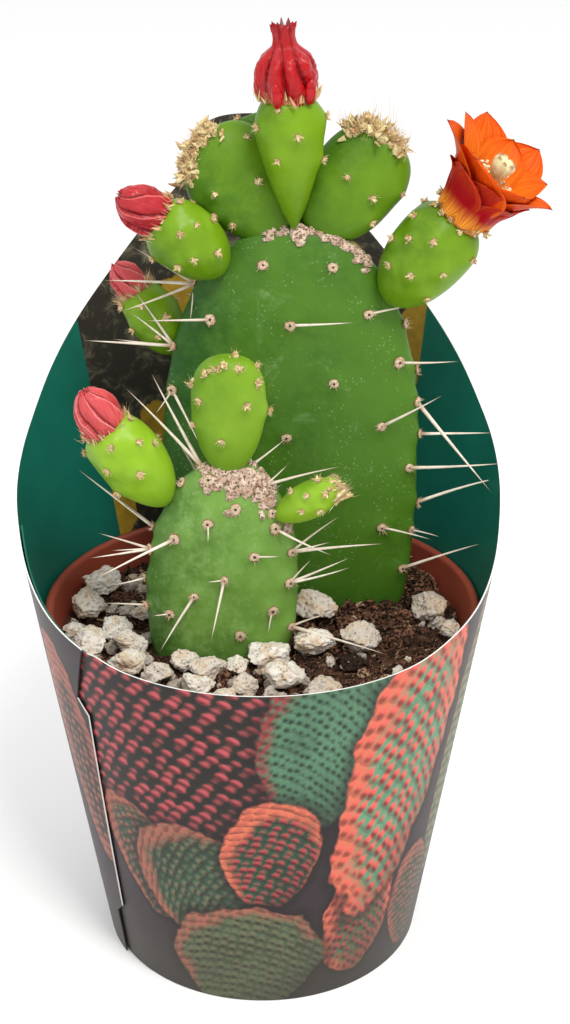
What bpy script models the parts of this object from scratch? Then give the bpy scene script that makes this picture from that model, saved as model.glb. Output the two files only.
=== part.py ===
"""Potted paddle cactus: a young paddle cactus in a nursery pot, inside a printed card sleeve.

All lengths are in metres and all angles in degrees. +Z is up, the low front of the sleeve faces -Y,
and the origin is the centre of the pot's underside, where the whole object stands.
"""

import math

import bmesh
import bpy
from mathutils import Matrix, Vector, noise
from mathutils.bvhtree import BVHTree

# ---------------------------------------------------------------- clearances
GAP = 0.0003  # left between two pieces that touch
CUT_GAP = 0.0004  # added all round a piece that cuts its seat in another one

# ---------------------------------------------------------------- nursery pot
POT_RIM_RADIUS = 0.0525
POT_BASE_RADIUS = 0.0380
POT_HEIGHT = 0.0900
POT_WALL = 0.0010
POT_FLOOR = 0.0015
RIM_BAND = 0.0080  # height of the thick band under the rim
RIM_STEP = 0.0012  # how far the band stands out of the wall
RIM_ROUND = 0.0004
DRAIN_HOLES = 6
DRAIN_RADIUS = 0.0035
DRAIN_RING = 0.0250
POT_STEPS = 44

# ---------------------------------------------------------------- card sleeve
CARD = 0.0005
SLEEVE_RIM_CLEARANCE = 0.0005  # between the card and the pot's rim
SLEEVE_BASE_CLEARANCE = 0.0009  # between the card and the pot's foot
# Height of the card's top edge above the pot's rim, by the angle from the middle of its front.
SLEEVE_EDGE = (
    (0, 0.0033),
    (35, 0.0042),
    (50, 0.0067),
    (62, 0.0092),
    (73, 0.0133),
    (84, 0.0190),
    (94, 0.0270),
    (104, 0.0342),
    (114, 0.0410),
    (124, 0.0492),
    (134, 0.0577),
    (144, 0.0665),
    (154, 0.0765),
    (180, 0.1040),
)
SLEEVE_TURN = 2.5  # how far the card is turned round the pot
HEAD_HALF_ANGLE = 15.5  # the rounded picture head at the middle of the back
HEAD_SHOULDER = 0.0887  # above the pot's rim
HEAD_RISE = 0.0145
LAP_START = -88.0  # the card's hidden end, turning from the front
LAP_RAMP = (248.0, 270.0)  # where the card steps out over that end
SEAM = 305.1  # the card's outer end
TAB_BOTTOM = 0.0174
TAB_TOP_BELOW_RIM = 0.0130
TAB_CORNER = 0.0034
COLUMN_STEP = 7.0

# ---------------------------------------------------------------- potting soil
SOIL_BELOW_RIM = 0.0087
SOIL_MOUND = 0.0016
SOIL_ROUGHNESS = 0.0008
SOIL_HEAP = (0.034, 0.030, 0.0045, 0.011)  # x, y, height and spread of the heap at the right rear
SOIL_RINGS = 6
SOIL_STEPS = 32

# ---------------------------------------------------------------- cactus
ROOT_DEPTH = 0.0150  # how far a paddle reaches below the level of the soil
MAIN_AT = (0.0060, 0.0150)  # where the main paddle stands in the pot
MAIN_LENGTH = 0.1116
MAIN_WIDTH = 0.0616
MAIN_DEPTH = 0.0130
FRONT_AT = (-0.0110, -0.0130)
FRONT_LENGTH = 0.0640
FRONT_WIDTH = 0.0350
FRONT_DEPTH = 0.0120
EDGE_POWER = 0.7  # how much more slowly a shoot thins towards its edge than it narrows
# Each shoot is cut to fit against these: the one that it grows from, and any that it lies against.
SEATS = {
    "upper_left_pad": ("main_pad", "crown_fruit"),
    "upper_right_pad": ("main_pad", "crown_fruit", "upper_left_pad"),
    "crown_fruit": ("main_pad",),
    "right_fruit": ("main_pad", "upper_right_pad"),
    "left_upper_fruit": ("main_pad", "upper_left_pad"),
    "left_middle_fruit": ("main_pad",),
    "left_lower_fruit": ("front_pad",),
    "centre_pad": ("front_pad",),
    "side_fruit": ("front_pad",),
    "crown_bud": ("crown_fruit",),
    "left_upper_bud": ("left_upper_fruit",),
    "left_middle_bud": ("left_middle_fruit",),
    "left_lower_bud": ("left_lower_fruit",),
}
# Faces round a shoot and along it, by its name or by its kind.
FINENESS = {
    "main_pad": (28, 16),
    "front_pad": (22, 13),
    "pad": (20, 11),
    "fruit": (16, 10),
    "bud": (14, 9),
}

# ---------------------------------------------------------------- flower
FLOWER_TILT = 34.0  # towards +X
FLOWER_LEAN = 17.0  # towards the front
FLOWER_SKEW = 12.0  # between the flower's axis and that of the fruit below it
PETALS = 6  # in each of its two whorls
PETAL_DEPTH = 0.0005
PETAL_ROWS = 6
PETAL_COLUMNS = 4
PETAL_NECK = 0.28  # width at the foot, as a share of the widest
PETAL_CURL = 0.16  # how far the tip bends down, as a share of the length
OUTER_PETAL = (0.0205, 0.0145, 0.0062, 0.0110)  # length, width, foot radius, flare
INNER_PETAL = (0.0200, 0.0125, 0.0050, 0.0092)
STAMEN_LENGTH = 0.0100
STAMEN_RADIUS = 0.0030
STYLE_RADIUS = 0.0011
STYLE_LENGTH = 0.0125
STIGMA_RADIUS = 0.0026
TUFT_STEPS = 14

# ---------------------------------------------------------------- stones and bark
# Wished bearing from +X, distance from the pot's wall and largest radius. Those that would touch
# a paddle, the wall or each other settle apart.
STONES = (
    (157, 0.0050, 0.0050),
    (172, 0.0046, 0.0048),
    (185, 0.0026, 0.0024),
    (199, 0.0064, 0.0046),
    (194, 0.0140, 0.0040),
    (175, 0.0190, 0.0024),
    (205, 0.0185, 0.0042),
    (220, 0.0103, 0.0043),
    (228, 0.0150, 0.0035),
    (229, 0.0207, 0.0035),
    (248, 0.0115, 0.0039),
    (245, 0.0210, 0.0039),
    (256, 0.0235, 0.0031),
    (271, 0.0300, 0.0048),
    (278, 0.0185, 0.0045),
    (266, 0.0155, 0.0032),
    (258, 0.0100, 0.0030),
    (306, 0.0315, 0.0048),
    (328, 0.0225, 0.0047),
    (292, 0.0110, 0.0038),
    (13, 0.0360, 0.0056),
    (7, 0.0077, 0.0048),
    (353, 0.0036, 0.0026),
    (112, 0.0180, 0.0050),
    (72, 0.0120, 0.0046),
)
BARK = (
    (316, 0.0200, 0.0032),
    (352, 0.0280, 0.0032),
)
STONE_FLATNESS = 0.80  # height over width
BARK_FLATNESS = 0.50
FACETS = 9  # planes that cut a stone's ball angular
FACET_DEPTH = (0.80, 0.96)  # how far from its middle, as a share of its radius
UNDERSIDE = 0.62  # how far below its middle a piece is flat, as a share of its radius
SETTLE_ROUNDS = 60
SETTLE_STEP = 0.0004  # how far a piece moves away from a paddle in one round


# ---------------------------------------------------------------- helpers
def clear_scene():
    for obj in list(bpy.data.objects):
        bpy.data.objects.remove(obj, do_unlink=True)


def new_collection(name, helper=False):
    group = bpy.data.collections.new(name)
    group.hide_render = helper
    bpy.context.scene.collection.children.link(group)
    return group


def material(name, color, roughness, metallic=0.0):
    mat = bpy.data.materials.new(name)
    mat.use_nodes = True
    shader = mat.node_tree.nodes["Principled BSDF"]
    shader.inputs["Base Color"].default_value = (*color, 1.0)
    shader.inputs["Roughness"].default_value = roughness
    shader.inputs["Metallic"].default_value = metallic
    mat.diffuse_color = (*color, 1.0)
    return mat


def add_object(name, bm, mat, group, smooth=True):
    """Turns a bmesh into an object of the given collection."""
    bmesh.ops.recalc_face_normals(bm, faces=bm.faces)
    mesh = bpy.data.meshes.new(name)
    bm.to_mesh(mesh)
    bm.free()
    if smooth:
        mesh.shade_smooth()
        mesh.set_sharp_from_angle(angle=math.radians(40))
    obj = bpy.data.objects.new(name, mesh)
    group.objects.link(obj)
    if mat:
        mesh.materials.append(mat)
    if group is CUTTERS:
        obj.hide_render = True
        obj.display_type = "WIRE"
    return obj


def cut(obj, cutter):
    """Takes the cutter's shape out of the object."""
    modifier = obj.modifiers.new("cut_" + cutter.name, "BOOLEAN")
    modifier.operation = "DIFFERENCE"
    modifier.solver = "EXACT"
    modifier.object = cutter


def read_curve(points, x):
    """Height at x of the smooth curve through the points, with flat tangents at its two ends."""
    last = len(points) - 1
    for i in range(last):
        if x <= points[i + 1][0] or i == last - 1:
            break
    (x0, y0), (x1, y1) = points[i], points[i + 1]
    span = x1 - x0
    before = points[max(i - 1, 0)]
    after = points[min(i + 2, last)]
    slope0 = (y1 - before[1]) / (x1 - before[0]) if i else 0.0
    slope1 = (after[1] - y0) / (after[0] - x0)
    s = min(max((x - x0) / span, 0.0), 1.0)
    return (
        (2 * s**3 - 3 * s**2 + 1) * y0
        + (s**3 - 2 * s**2 + s) * span * slope0
        + (3 * s**2 - 2 * s**3) * y1
        + (s**3 - s**2) * span * slope1
    )


def smoothstep(low, high, x):
    s = min(max((x - low) / (high - low), 0.0), 1.0)
    return s * s * (3 - 2 * s)


def spun(profile, steps):
    """A bmesh turned about Z from a profile that starts and ends on the axis."""
    bm = bmesh.new()
    points = [bm.verts.new((r, 0.0, z)) for r, z in profile]
    edges = [bm.edges.new(pair) for pair in zip(points, points[1:])]
    turn = {"cent": (0, 0, 0), "axis": (0, 0, 1), "angle": math.tau}
    bmesh.ops.spin(bm, geom=points + edges, steps=steps, use_merge=True, **turn)
    bmesh.ops.remove_doubles(bm, verts=bm.verts, dist=0.00001)
    return bm


# ---------------------------------------------------------------- pot
def pot_outer(z):
    """Outer radius of the pot's plain wall at a height."""
    return POT_BASE_RADIUS + (POT_RIM_RADIUS - RIM_STEP - POT_BASE_RADIUS) * z / POT_HEIGHT


def pot_inner(z):
    return pot_outer(z) - POT_WALL


def build_pot(mat):
    band_foot = POT_HEIGHT - RIM_BAND
    profile = [
        (0.0, POT_FLOOR),
        (pot_inner(POT_FLOOR), POT_FLOOR),
        (pot_inner(POT_HEIGHT), POT_HEIGHT - RIM_ROUND),
        (pot_inner(POT_HEIGHT) + RIM_ROUND, POT_HEIGHT),
        (POT_RIM_RADIUS - RIM_ROUND, POT_HEIGHT),
        (POT_RIM_RADIUS, POT_HEIGHT - RIM_ROUND),
        (pot_outer(band_foot) + RIM_STEP, band_foot),
        (pot_outer(band_foot), band_foot - RIM_ROUND),
        (POT_BASE_RADIUS, RIM_ROUND),
        (POT_BASE_RADIUS - RIM_ROUND, 0.0),
        (0.0, 0.0),
    ]
    pot = add_object("nursery_pot", spun(profile, POT_STEPS), mat, PARTS)
    for i in range(DRAIN_HOLES):
        bearing = math.tau * (i + 0.5) / DRAIN_HOLES
        bm = bmesh.new()
        drill = {"radius1": DRAIN_RADIUS, "radius2": DRAIN_RADIUS, "depth": 4 * POT_FLOOR}
        bmesh.ops.create_cone(bm, cap_ends=True, segments=16, **drill)
        hole = add_object(f"drain_{i + 1}", bm, None, CUTTERS)
        hole.location = (DRAIN_RING * math.cos(bearing), DRAIN_RING * math.sin(bearing), 0.0)
        cut(pot, hole)
    return pot


# ---------------------------------------------------------------- sleeve
def sleeve_outer(z):
    """Outer radius of the card at a height: a cone that clears the pot's foot and rim."""
    foot = POT_BASE_RADIUS + SLEEVE_BASE_CLEARANCE
    rim = POT_RIM_RADIUS + SLEEVE_RIM_CLEARANCE
    return foot + (rim - foot) * z / POT_HEIGHT + CARD


def sleeve_top(turn):
    """Height of the card's top edge at an angle from the middle of the front."""
    angle = abs((turn + 180.0) % 360.0 - 180.0)
    rise = read_curve(SLEEVE_EDGE, angle)
    from_back = (180.0 - angle) / HEAD_HALF_ANGLE
    if from_back < 1.0:
        rise = HEAD_SHOULDER + HEAD_RISE * math.sqrt(1.0 - from_back**3)
    return POT_HEIGHT + rise


def sleeve_columns():
    """Angles of the card's columns, close together where the head's outline is round."""
    head = [180 - HEAD_HALF_ANGLE * math.cos(math.radians(15 * k)) for k in range(13)]
    right = [LAP_START + COLUMN_STEP * k for k in range(60)]
    left = [SEAM - 10 - COLUMN_STEP * k for k in range(60)]
    right = [a for a in right if a < head[0] - 2]
    left = [a for a in reversed(left) if a > head[-1] + 2]
    return right + head + left


def build_sleeve(mat):
    tab_top = POT_HEIGHT - TAB_TOP_BELOW_RIM
    heights = [0.0, TAB_BOTTOM - TAB_CORNER, TAB_BOTTOM, tab_top, tab_top + TAB_CORNER, None]
    end_turns = [-7.0, -6.0, -1.4, 3.8, 0.0, 6.9]  # the outer end's outline, from the seam
    bm = bmesh.new()
    columns = [[turn] * len(heights) for turn in sleeve_columns()]
    columns.append([SEAM + extra for extra in end_turns])
    grid = []
    for column in columns:
        line = []
        for turn, height in zip(column, heights):
            z = sleeve_top(turn) if height is None else height
            radius = sleeve_outer(z) + (CARD + GAP) * smoothstep(*LAP_RAMP, turn)
            angle = math.radians(turn - 90.0 + SLEEVE_TURN)
            line.append(bm.verts.new((radius * math.cos(angle), radius * math.sin(angle), z)))
        grid.append(line)
    for left, right in zip(grid, grid[1:]):
        for k in range(len(heights) - 1):
            bm.faces.new((left[k], right[k], right[k + 1], left[k + 1]))
    sleeve = add_object("card_sleeve", bm, mat, PARTS)
    shell = sleeve.modifiers.new("card", "SOLIDIFY")
    shell.thickness = CARD
    shell.offset = -1.0
    return sleeve


# ---------------------------------------------------------------- shoots
class Shoot:
    """A paddle, fruit or bud. Its local +Z runs from root to tip, X across it and Y through it.

    tilt turns it towards +X, lean towards the front and turn about its own length. belly is where
    it is widest, as a share of its length, and blunt_root and blunt_tip are the powers of its
    outline there: 1 is a straight taper, 2 round and more is squarer. cut ends it flat.
    """

    def __init__(self, name, root, length, width, depth, tilt=0.0, lean=0.0, turn=0.0, belly=0.5,
                 blunt_root=2.0, blunt_tip=2.0, section=2.0, cut=1.0, ribs=0, rib=0.0):
        self.name = name
        self.length = length
        self.width = width
        self.depth = depth
        self.belly = belly
        self.blunt_root = blunt_root
        self.blunt_tip = blunt_tip
        self.section = section
        self.cut = cut
        self.ribs = ribs
        self.rib = rib
        angles = [Matrix.Rotation(math.radians(a), 4, axis)
                  for a, axis in ((tilt, "Y"), (lean, "X"), (turn, "Z"))]
        self.matrix = Matrix.Translation(root) @ angles[0] @ angles[1] @ angles[2]

    def outline(self, t):
        """Half the width at t along the shoot, as a share of its widest."""
        if t < self.belly:
            power, x = self.blunt_root, (self.belly - t) / self.belly
        else:
            power, x = self.blunt_tip, (t - self.belly) / (1.0 - self.belly)
        return max(1.0 - min(x, 1.0) ** power, 0.0) ** (1.0 / power)

    def point(self, t, angle, grow=0.0):
        """Local point of the surface, at t along the shoot and an angle round it."""
        flat = min(t, self.cut)
        cap = 1.0 if t <= self.cut else math.sqrt((1.0 - t) / (1.0 - self.cut))
        out = self.outline(flat)
        c, s = math.cos(angle), math.sin(angle)
        rib = 1.0 + self.rib * math.cos(self.ribs * angle) * math.sin(math.pi * flat)
        wide = (self.width / 2 * out + grow) * cap * rib
        thick = (self.depth / 2 * out**EDGE_POWER + grow) * cap * rib
        power = 2.0 / self.section
        x = wide * math.copysign(abs(c) ** power, c)
        y = thick * math.copysign(abs(s) ** power, s)
        z = flat * self.length + grow * (2 * flat / self.cut - 1)
        return Vector((x, y, z))

    def mesh(self, around, along, grow=0.0):
        """A UV sphere drawn out to the shoot's shape."""
        bm = bmesh.new()
        bmesh.ops.create_uvsphere(bm, u_segments=around, v_segments=along, radius=1.0)
        for vert in bm.verts:
            t = min(max((1.0 + vert.co.z) / 2, 0.0), 1.0)
            angle = math.atan2(vert.co.y, vert.co.x)
            place = self.point(t, angle, grow)
            if abs(vert.co.z) > 1.0 - 1e-6:
                place.x = place.y = 0.0
            vert.co = self.matrix @ place
        return bm

    def rim(self, t, side, inset=0.0, forward=0.0):
        """World point on the edge of a paddle: side -1 is its left edge and 1 its right."""
        edge = Vector((side * self.width / 2 * self.outline(t), 0.0, t * self.length))
        inward = Vector((0.0, 0.0, self.belly * self.length)) - edge
        return self.matrix @ (edge + inward.normalized() * inset + Vector((0, -forward, 0)))

    def end(self, raise_by=0.0):
        """World point at the middle of the flat end."""
        return self.matrix @ Vector((0.0, 0.0, self.cut * self.length + raise_by))


def build_shoot(shoot, mat, around, along, seats=()):
    """Makes the shoot, cut to fit against the shoots that it grows from or lies against."""
    obj = add_object(shoot.name, shoot.mesh(around, along), mat, PARTS)
    for other in seats:
        cut(obj, cutter_of(other))
    return obj


def cutter_of(shoot):
    """The shoot's own shape grown by the cutting gap, made once."""
    name = shoot.name + "_cutter"
    if name not in bpy.data.objects:
        kind = shoot.name.split("_")[-1]
        around, along = FINENESS.get(shoot.name, FINENESS[kind])
        add_object(name, shoot.mesh(around, along, CUT_GAP), None, CUTTERS)
    return bpy.data.objects[name]


def planted(at):
    return (at[0], at[1], soil_level() - ROOT_DEPTH)


def cactus_shoots():
    """Every shoot by name, each placed from the one that it grows from."""
    main = Shoot("main_pad", planted(MAIN_AT), MAIN_LENGTH, MAIN_WIDTH, MAIN_DEPTH, tilt=0.8,
                 belly=0.475, blunt_root=4.0, blunt_tip=2.3, section=2.2)
    front = Shoot("front_pad", planted(FRONT_AT), FRONT_LENGTH, FRONT_WIDTH, FRONT_DEPTH, tilt=3.5,
                  belly=0.48, blunt_root=2.15, blunt_tip=2.3, section=2.2)
    shoots = [main, front]

    def grow(name, *args, **options):
        shoot = Shoot(name, *args, **options)
        shoots.append(shoot)
        return shoot

    grow("upper_left_pad", main.rim(1.0, -1, 0.0020, -0.0015), 0.0300, 0.0232, 0.0105,
         tilt=-46, lean=-6, turn=12, belly=0.58, blunt_root=1.9, blunt_tip=2.5, section=2.2)
    grow("upper_right_pad", main.rim(0.998, 1, 0.0020, -0.0015), 0.0287, 0.0214, 0.0100,
         tilt=41, lean=-5, turn=-8, belly=0.56, blunt_root=2.2, blunt_tip=2.5, section=2.2)
    crown = grow("crown_fruit", main.rim(1.0, 1, 0.0005, 0.0025), 0.0325, 0.0154, 0.0125,
                 tilt=-2.5, lean=6, belly=0.71, blunt_root=1.25, blunt_tip=2.4, cut=0.93)
    right = grow("right_fruit", main.rim(0.865, 1, 0.0020, 0.0030), 0.0270, 0.0188, 0.0160,
                 tilt=38, lean=6, belly=0.62, blunt_root=2.0, blunt_tip=2.4, cut=0.93)
    left_upper = grow("left_upper_fruit", main.rim(0.938, -1, 0.0030, 0.0042), 0.0210, 0.0156,
                      0.0140, tilt=-47, lean=8, belly=0.56, blunt_root=2.0, blunt_tip=2.4, cut=0.93)
    left_middle = grow("left_middle_fruit", main.rim(0.722, -1, 0.0020, -0.0045), 0.0185, 0.0124,
                       0.0112, tilt=-35, lean=-8, belly=0.55, blunt_root=2.0, blunt_tip=2.4,
                       cut=0.93)
    left_lower = grow("left_lower_fruit", front.rim(0.850, -1, 0.0002, 0.0010), 0.0245, 0.0154,
                      0.0142, tilt=-36, lean=5, belly=0.58, blunt_root=1.8, blunt_tip=2.4, cut=0.93)
    grow("centre_pad", front.rim(1.0, 1, 0.0025), 0.0285, 0.0168, 0.0100, tilt=0.5, lean=3,
         belly=0.62, blunt_root=1.9, blunt_tip=2.6, section=2.2)
    grow("side_fruit", front.rim(0.870, 1, 0.0030, 0.0035), 0.0200, 0.0088, 0.0080, tilt=56,
         lean=12, belly=0.55, blunt_root=1.8, blunt_tip=1.8, cut=0.95)

    grow("crown_bud", crown.end(-0.0005), 0.0187, 0.0134, 0.0130, tilt=-4, lean=5, belly=0.40,
         blunt_root=2.6, blunt_tip=1.45, cut=0.93, ribs=7, rib=0.07)
    grow("left_upper_bud", left_upper.end(-0.001), 0.0118, 0.0120, 0.0115, tilt=-58, lean=10,
         belly=0.42, blunt_root=2.6, blunt_tip=1.9, cut=0.96, ribs=6, rib=0.06)
    grow("left_middle_bud", left_middle.end(-0.001), 0.0098, 0.0092, 0.0088, tilt=-38, lean=-8,
         belly=0.42, blunt_root=2.4, blunt_tip=1.7, cut=0.96, ribs=6, rib=0.05)
    grow("left_lower_bud", left_lower.end(-0.001), 0.0118, 0.0116, 0.0112, tilt=-24, lean=8,
         belly=0.45, blunt_root=2.6, blunt_tip=2.1, cut=0.96, ribs=6, rib=0.05)
    return {shoot.name: shoot for shoot in shoots}


def build_cactus(shoots, mats):
    for name, shoot in shoots.items():
        kind = name.split("_")[-1]
        mat = mats["mature"] if name in ("main_pad", "front_pad") else mats[kind]
        around, along = FINENESS.get(name, FINENESS[kind])
        seats = [shoots[other] for other in SEATS.get(name, ())]
        build_shoot(shoot, mat, around, along, seats)


# ---------------------------------------------------------------- flower
def build_petal(name, bearing, shape, frame, mat):
    """A cupped petal: a strip wrapped round the flower's axis, flaring towards its tip."""
    length, width, foot, flare = shape
    bm = bmesh.new()
    rows = []
    for i in range(PETAL_ROWS + 1):
        v = i / PETAL_ROWS
        radius = foot + flare * v**1.4
        height = length * (v - PETAL_CURL * v**3)
        belly = math.sin(math.pi * v / 1.25) ** 0.8
        tip = math.sqrt(max(1.0 - v**6, 0.02))
        half = width / 2 * (PETAL_NECK + (1.0 - PETAL_NECK) * belly) * tip
        half = min(half, radius * math.pi / PETALS - GAP)  # clear of its neighbours in the whorl
        row = []
        for j in range(PETAL_COLUMNS + 1):
            angle = bearing + (2 * j / PETAL_COLUMNS - 1) * half / radius
            place = Vector((radius * math.cos(angle), radius * math.sin(angle), height))
            row.append(bm.verts.new(frame @ place))
        rows.append(row)
    for low, high in zip(rows, rows[1:]):
        for j in range(PETAL_COLUMNS):
            bm.faces.new((low[j], low[j + 1], high[j + 1], high[j]))
    petal = add_object(name, bm, mat, PARTS)
    shell = petal.modifiers.new("petal", "SOLIDIFY")
    shell.thickness = PETAL_DEPTH
    shell.offset = 0.0


def build_flower(fruit, mats):
    """Two whorls of petals round a ring of stamens and a style, on the right fruit's flat end."""
    dip = OUTER_PETAL[2] * math.sin(math.radians(FLOWER_SKEW))
    foot = fruit.end(GAP + dip + PETAL_DEPTH)
    tilt = Matrix.Rotation(math.radians(FLOWER_TILT), 4, "Y")
    lean = Matrix.Rotation(math.radians(FLOWER_LEAN), 4, "X")
    frame = Matrix.Translation(foot) @ tilt @ lean
    half_step = math.pi / PETALS
    for i in range(PETALS):
        bearing = math.tau * i / PETALS
        build_petal(f"outer_petal_{i + 1}", bearing, OUTER_PETAL, frame, mats["outer_petal"])
        build_petal(f"inner_petal_{i + 1}", bearing + half_step, INNER_PETAL, frame,
                    mats["inner_petal"])
    bore = STYLE_RADIUS + GAP
    tuft = [
        (bore, STAMEN_LENGTH),
        (STAMEN_RADIUS, STAMEN_LENGTH * 0.92),
        (STAMEN_RADIUS * 0.8, 0.0),
        (bore, 0.0),
        (bore, STAMEN_LENGTH),
    ]
    stigma = [
        (0.0, STYLE_LENGTH + STIGMA_RADIUS),
        (STIGMA_RADIUS * 0.8, STYLE_LENGTH + STIGMA_RADIUS * 0.6),
        (STIGMA_RADIUS, STYLE_LENGTH),
        (STYLE_RADIUS, STYLE_LENGTH - STIGMA_RADIUS * 0.5),
        (STYLE_RADIUS, 0.0),
        (0.0, 0.0),
    ]
    for name, profile in (("stamens", tuft), ("style", stigma)):
        bm = spun(profile, TUFT_STEPS)
        bmesh.ops.transform(bm, matrix=frame, verts=bm.verts)
        add_object(name, bm, mats[name], PARTS)


# ---------------------------------------------------------------- soil, stones and bark
def soil_level():
    return POT_HEIGHT - SOIL_BELOW_RIM


def soil_height(x, y):
    """Height of the soil's surface: a low mound with a heap, roughened."""
    reach = min(math.hypot(x, y) / pot_inner(soil_level()), 1.0)
    heap_x, heap_y, heap, spread = SOIL_HEAP
    away = math.hypot(x - heap_x, y - heap_y) / spread
    rough = noise.noise(Vector((x * 220, y * 220, 3.0))) * SOIL_ROUGHNESS
    return soil_level() + SOIL_MOUND * (1 - reach**2) + heap * math.exp(-away * away) + rough


def build_soil(mat, planted_shoots):
    """Makes the soil, and returns a search tree of its surface for laying pieces on it."""
    foot = POT_FLOOR + GAP
    edge = pot_inner(soil_level()) - GAP
    profile = [(edge * (k / SOIL_RINGS) ** 0.85, soil_level()) for k in range(SOIL_RINGS + 1)]
    profile += [(pot_inner(foot) - GAP, foot), (0.0, foot)]
    bm = spun(profile, SOIL_STEPS)
    for vert in bm.verts:
        if vert.co.z > soil_level() - GAP:
            vert.co.z = soil_height(vert.co.x, vert.co.y)
    surface = BVHTree.FromBMesh(bm)
    soil = add_object("potting_soil", bm, mat, PARTS)
    for shoot in planted_shoots:
        cut(soil, cutter_of(shoot))
    return surface


def ground_under(surface, spot, reach):
    """Highest point of the soil within reach of a spot."""
    top = 0.0
    down = Vector((0.0, 0.0, -1.0))
    for i in range(-3, 4):
        for j in range(-3, 4):
            above = Vector((spot.x + reach * i / 3, spot.y + reach * j / 3, 2 * POT_HEIGHT))
            hit = surface.ray_cast(above, down)[0]
            top = max(top, hit.z) if hit else top
    return top


def touches(shoot, spot, size):
    """Whether a piece of this radius, lying on the soil at a spot, would touch a paddle."""
    room = size + GAP
    for height in (0.0, size, 2 * size):
        local = shoot.matrix.inverted() @ Vector((spot.x, spot.y, soil_level() + height))
        out = shoot.outline(local.z / shoot.length)
        wide = shoot.width / 2 * out + room
        thick = shoot.depth / 2 * out**EDGE_POWER + room
        if (local.x / wide) ** 2 + (local.y / thick) ** 2 < 1.0:
            return True
    return False


def settle(pieces, shoots):
    """Spots for loose pieces: from their wished places, pushed apart until none touch."""
    wall = pot_inner(soil_level())
    sizes = [size for _, _, size in pieces]
    spots = []
    for bearing, from_wall, _ in pieces:
        angle = math.radians(bearing)
        radius = wall - from_wall
        spots.append(Vector((radius * math.cos(angle), radius * math.sin(angle), 0.0)))
    for _ in range(SETTLE_ROUNDS):
        for i, a in enumerate(spots):
            for j in range(i + 1, len(spots)):
                b = spots[j]
                apart = (b - a).length
                need = sizes[i] + sizes[j] + GAP
                if apart < need:
                    push = (b - a).normalized() * (need - apart) / 2
                    a -= push
                    b += push
        for spot, size in zip(spots, sizes):
            for shoot in shoots:
                if touches(shoot, spot, size):
                    centre = shoot.matrix.translation
                    away = Vector((spot.x - centre.x, spot.y - centre.y, 0.0))
                    away.x *= (shoot.depth / shoot.width) ** 2
                    spot += away.normalized() * SETTLE_STEP
            reach = wall - GAP - size
            if spot.length > reach:
                spot *= reach / spot.length
    return spots


def build_piece(name, spot, ground, size, seed, mat, flatness):
    """An angular lump that lies on the soil: a ball cut flat by a few chance planes."""
    bm = bmesh.new()
    bmesh.ops.create_icosphere(bm, subdivisions=2, radius=1.0)
    planes = [(Vector((0.0, 0.0, -1.0)), UNDERSIDE)]
    nearest, farthest = FACET_DEPTH
    for k in range(FACETS):
        depth = nearest + (farthest - nearest) * chance(seed, k + 20)
        planes.append((chance_direction(seed, k), depth))
    middle = Vector((spot.x, spot.y, ground + GAP + size * UNDERSIDE * flatness))
    for vert in bm.verts:
        direction = vert.co.normalized()
        reach = 1.0
        for facing, depth in planes:
            towards = direction.dot(facing)
            if towards > 0.05:
                reach = min(reach, depth / towards)
        lump = direction * reach * size
        lump.z *= flatness
        vert.co = middle + lump
    return add_object(name, bm, mat, PARTS, smooth=False)


def chance(seed, k):
    """A fixed number from 0 to 1 for a seed and a count."""
    return (math.sin(seed * 12.9898 + k * 78.233) * 43758.5453) % 1.0


def chance_direction(seed, k):
    height = 2 * chance(seed, k) - 1
    turn = math.tau * chance(seed, k + 50)
    flat = math.sqrt(1 - height * height)
    return Vector((flat * math.cos(turn), flat * math.sin(turn), height))


def build_loose(surface, shoots, mats):
    """The pumice stones and bark chips on the soil."""
    wished = STONES + BARK
    for i, spot in enumerate(settle(wished, shoots)):
        number = i + 1 if i < len(STONES) else i + 1 - len(STONES)
        if i < len(STONES):
            name, mat, flatness = f"pumice_stone_{number:02d}", mats["pumice"], STONE_FLATNESS
        else:
            name, mat, flatness = f"bark_chip_{number}", mats["bark"], BARK_FLATNESS
        size = wished[i][2]
        ground = ground_under(surface, spot, size)
        build_piece(name, spot, ground, size, i + 1, mat, flatness)


# ---------------------------------------------------------------- the whole object
def make_materials():
    return {
        "card": material("printed_card", (0.16, 0.12, 0.13), 0.35),
        "pot": material("terracotta_plastic", (0.32, 0.09, 0.05), 0.45),
        "soil": material("potting_soil", (0.06, 0.03, 0.02), 0.95),
        "mature": material("mature_skin", (0.07, 0.22, 0.05), 0.45),
        "pad": material("young_pad_skin", (0.14, 0.33, 0.05), 0.42),
        "fruit": material("fruit_skin", (0.22, 0.42, 0.05), 0.42),
        "bud": material("bud_red", (0.62, 0.04, 0.05), 0.40),
        "outer_petal": material("outer_petal", (0.80, 0.09, 0.02), 0.45),
        "inner_petal": material("inner_petal", (0.90, 0.22, 0.02), 0.45),
        "stamens": material("stamens", (0.80, 0.65, 0.30), 0.60),
        "style": material("style", (0.72, 0.70, 0.40), 0.50),
        "pumice": material("pumice", (0.62, 0.57, 0.50), 0.90),
        "bark": material("bark", (0.14, 0.06, 0.03), 0.85),
    }


def main():
    mats = make_materials()
    shoots = cactus_shoots()
    stems = [shoots["main_pad"], shoots["front_pad"]]
    build_sleeve(mats["card"])
    build_pot(mats["pot"])
    build_cactus(shoots, mats)
    build_flower(shoots["right_fruit"], mats)
    surface = build_soil(mats["soil"], stems)
    build_loose(surface, stems, mats)


clear_scene()
PARTS = new_collection("potted_paddle_cactus")
CUTTERS = new_collection("cutters", helper=True)
main()
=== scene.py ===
"""Looks of the potted paddle cactus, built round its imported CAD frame.

Lengths are in metres and angles in degrees, unless a name says otherwise. +Z is up, the low front of
the sleeve faces -Y, and the origin is the middle of the pot's underside.
"""

import math
import random

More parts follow.
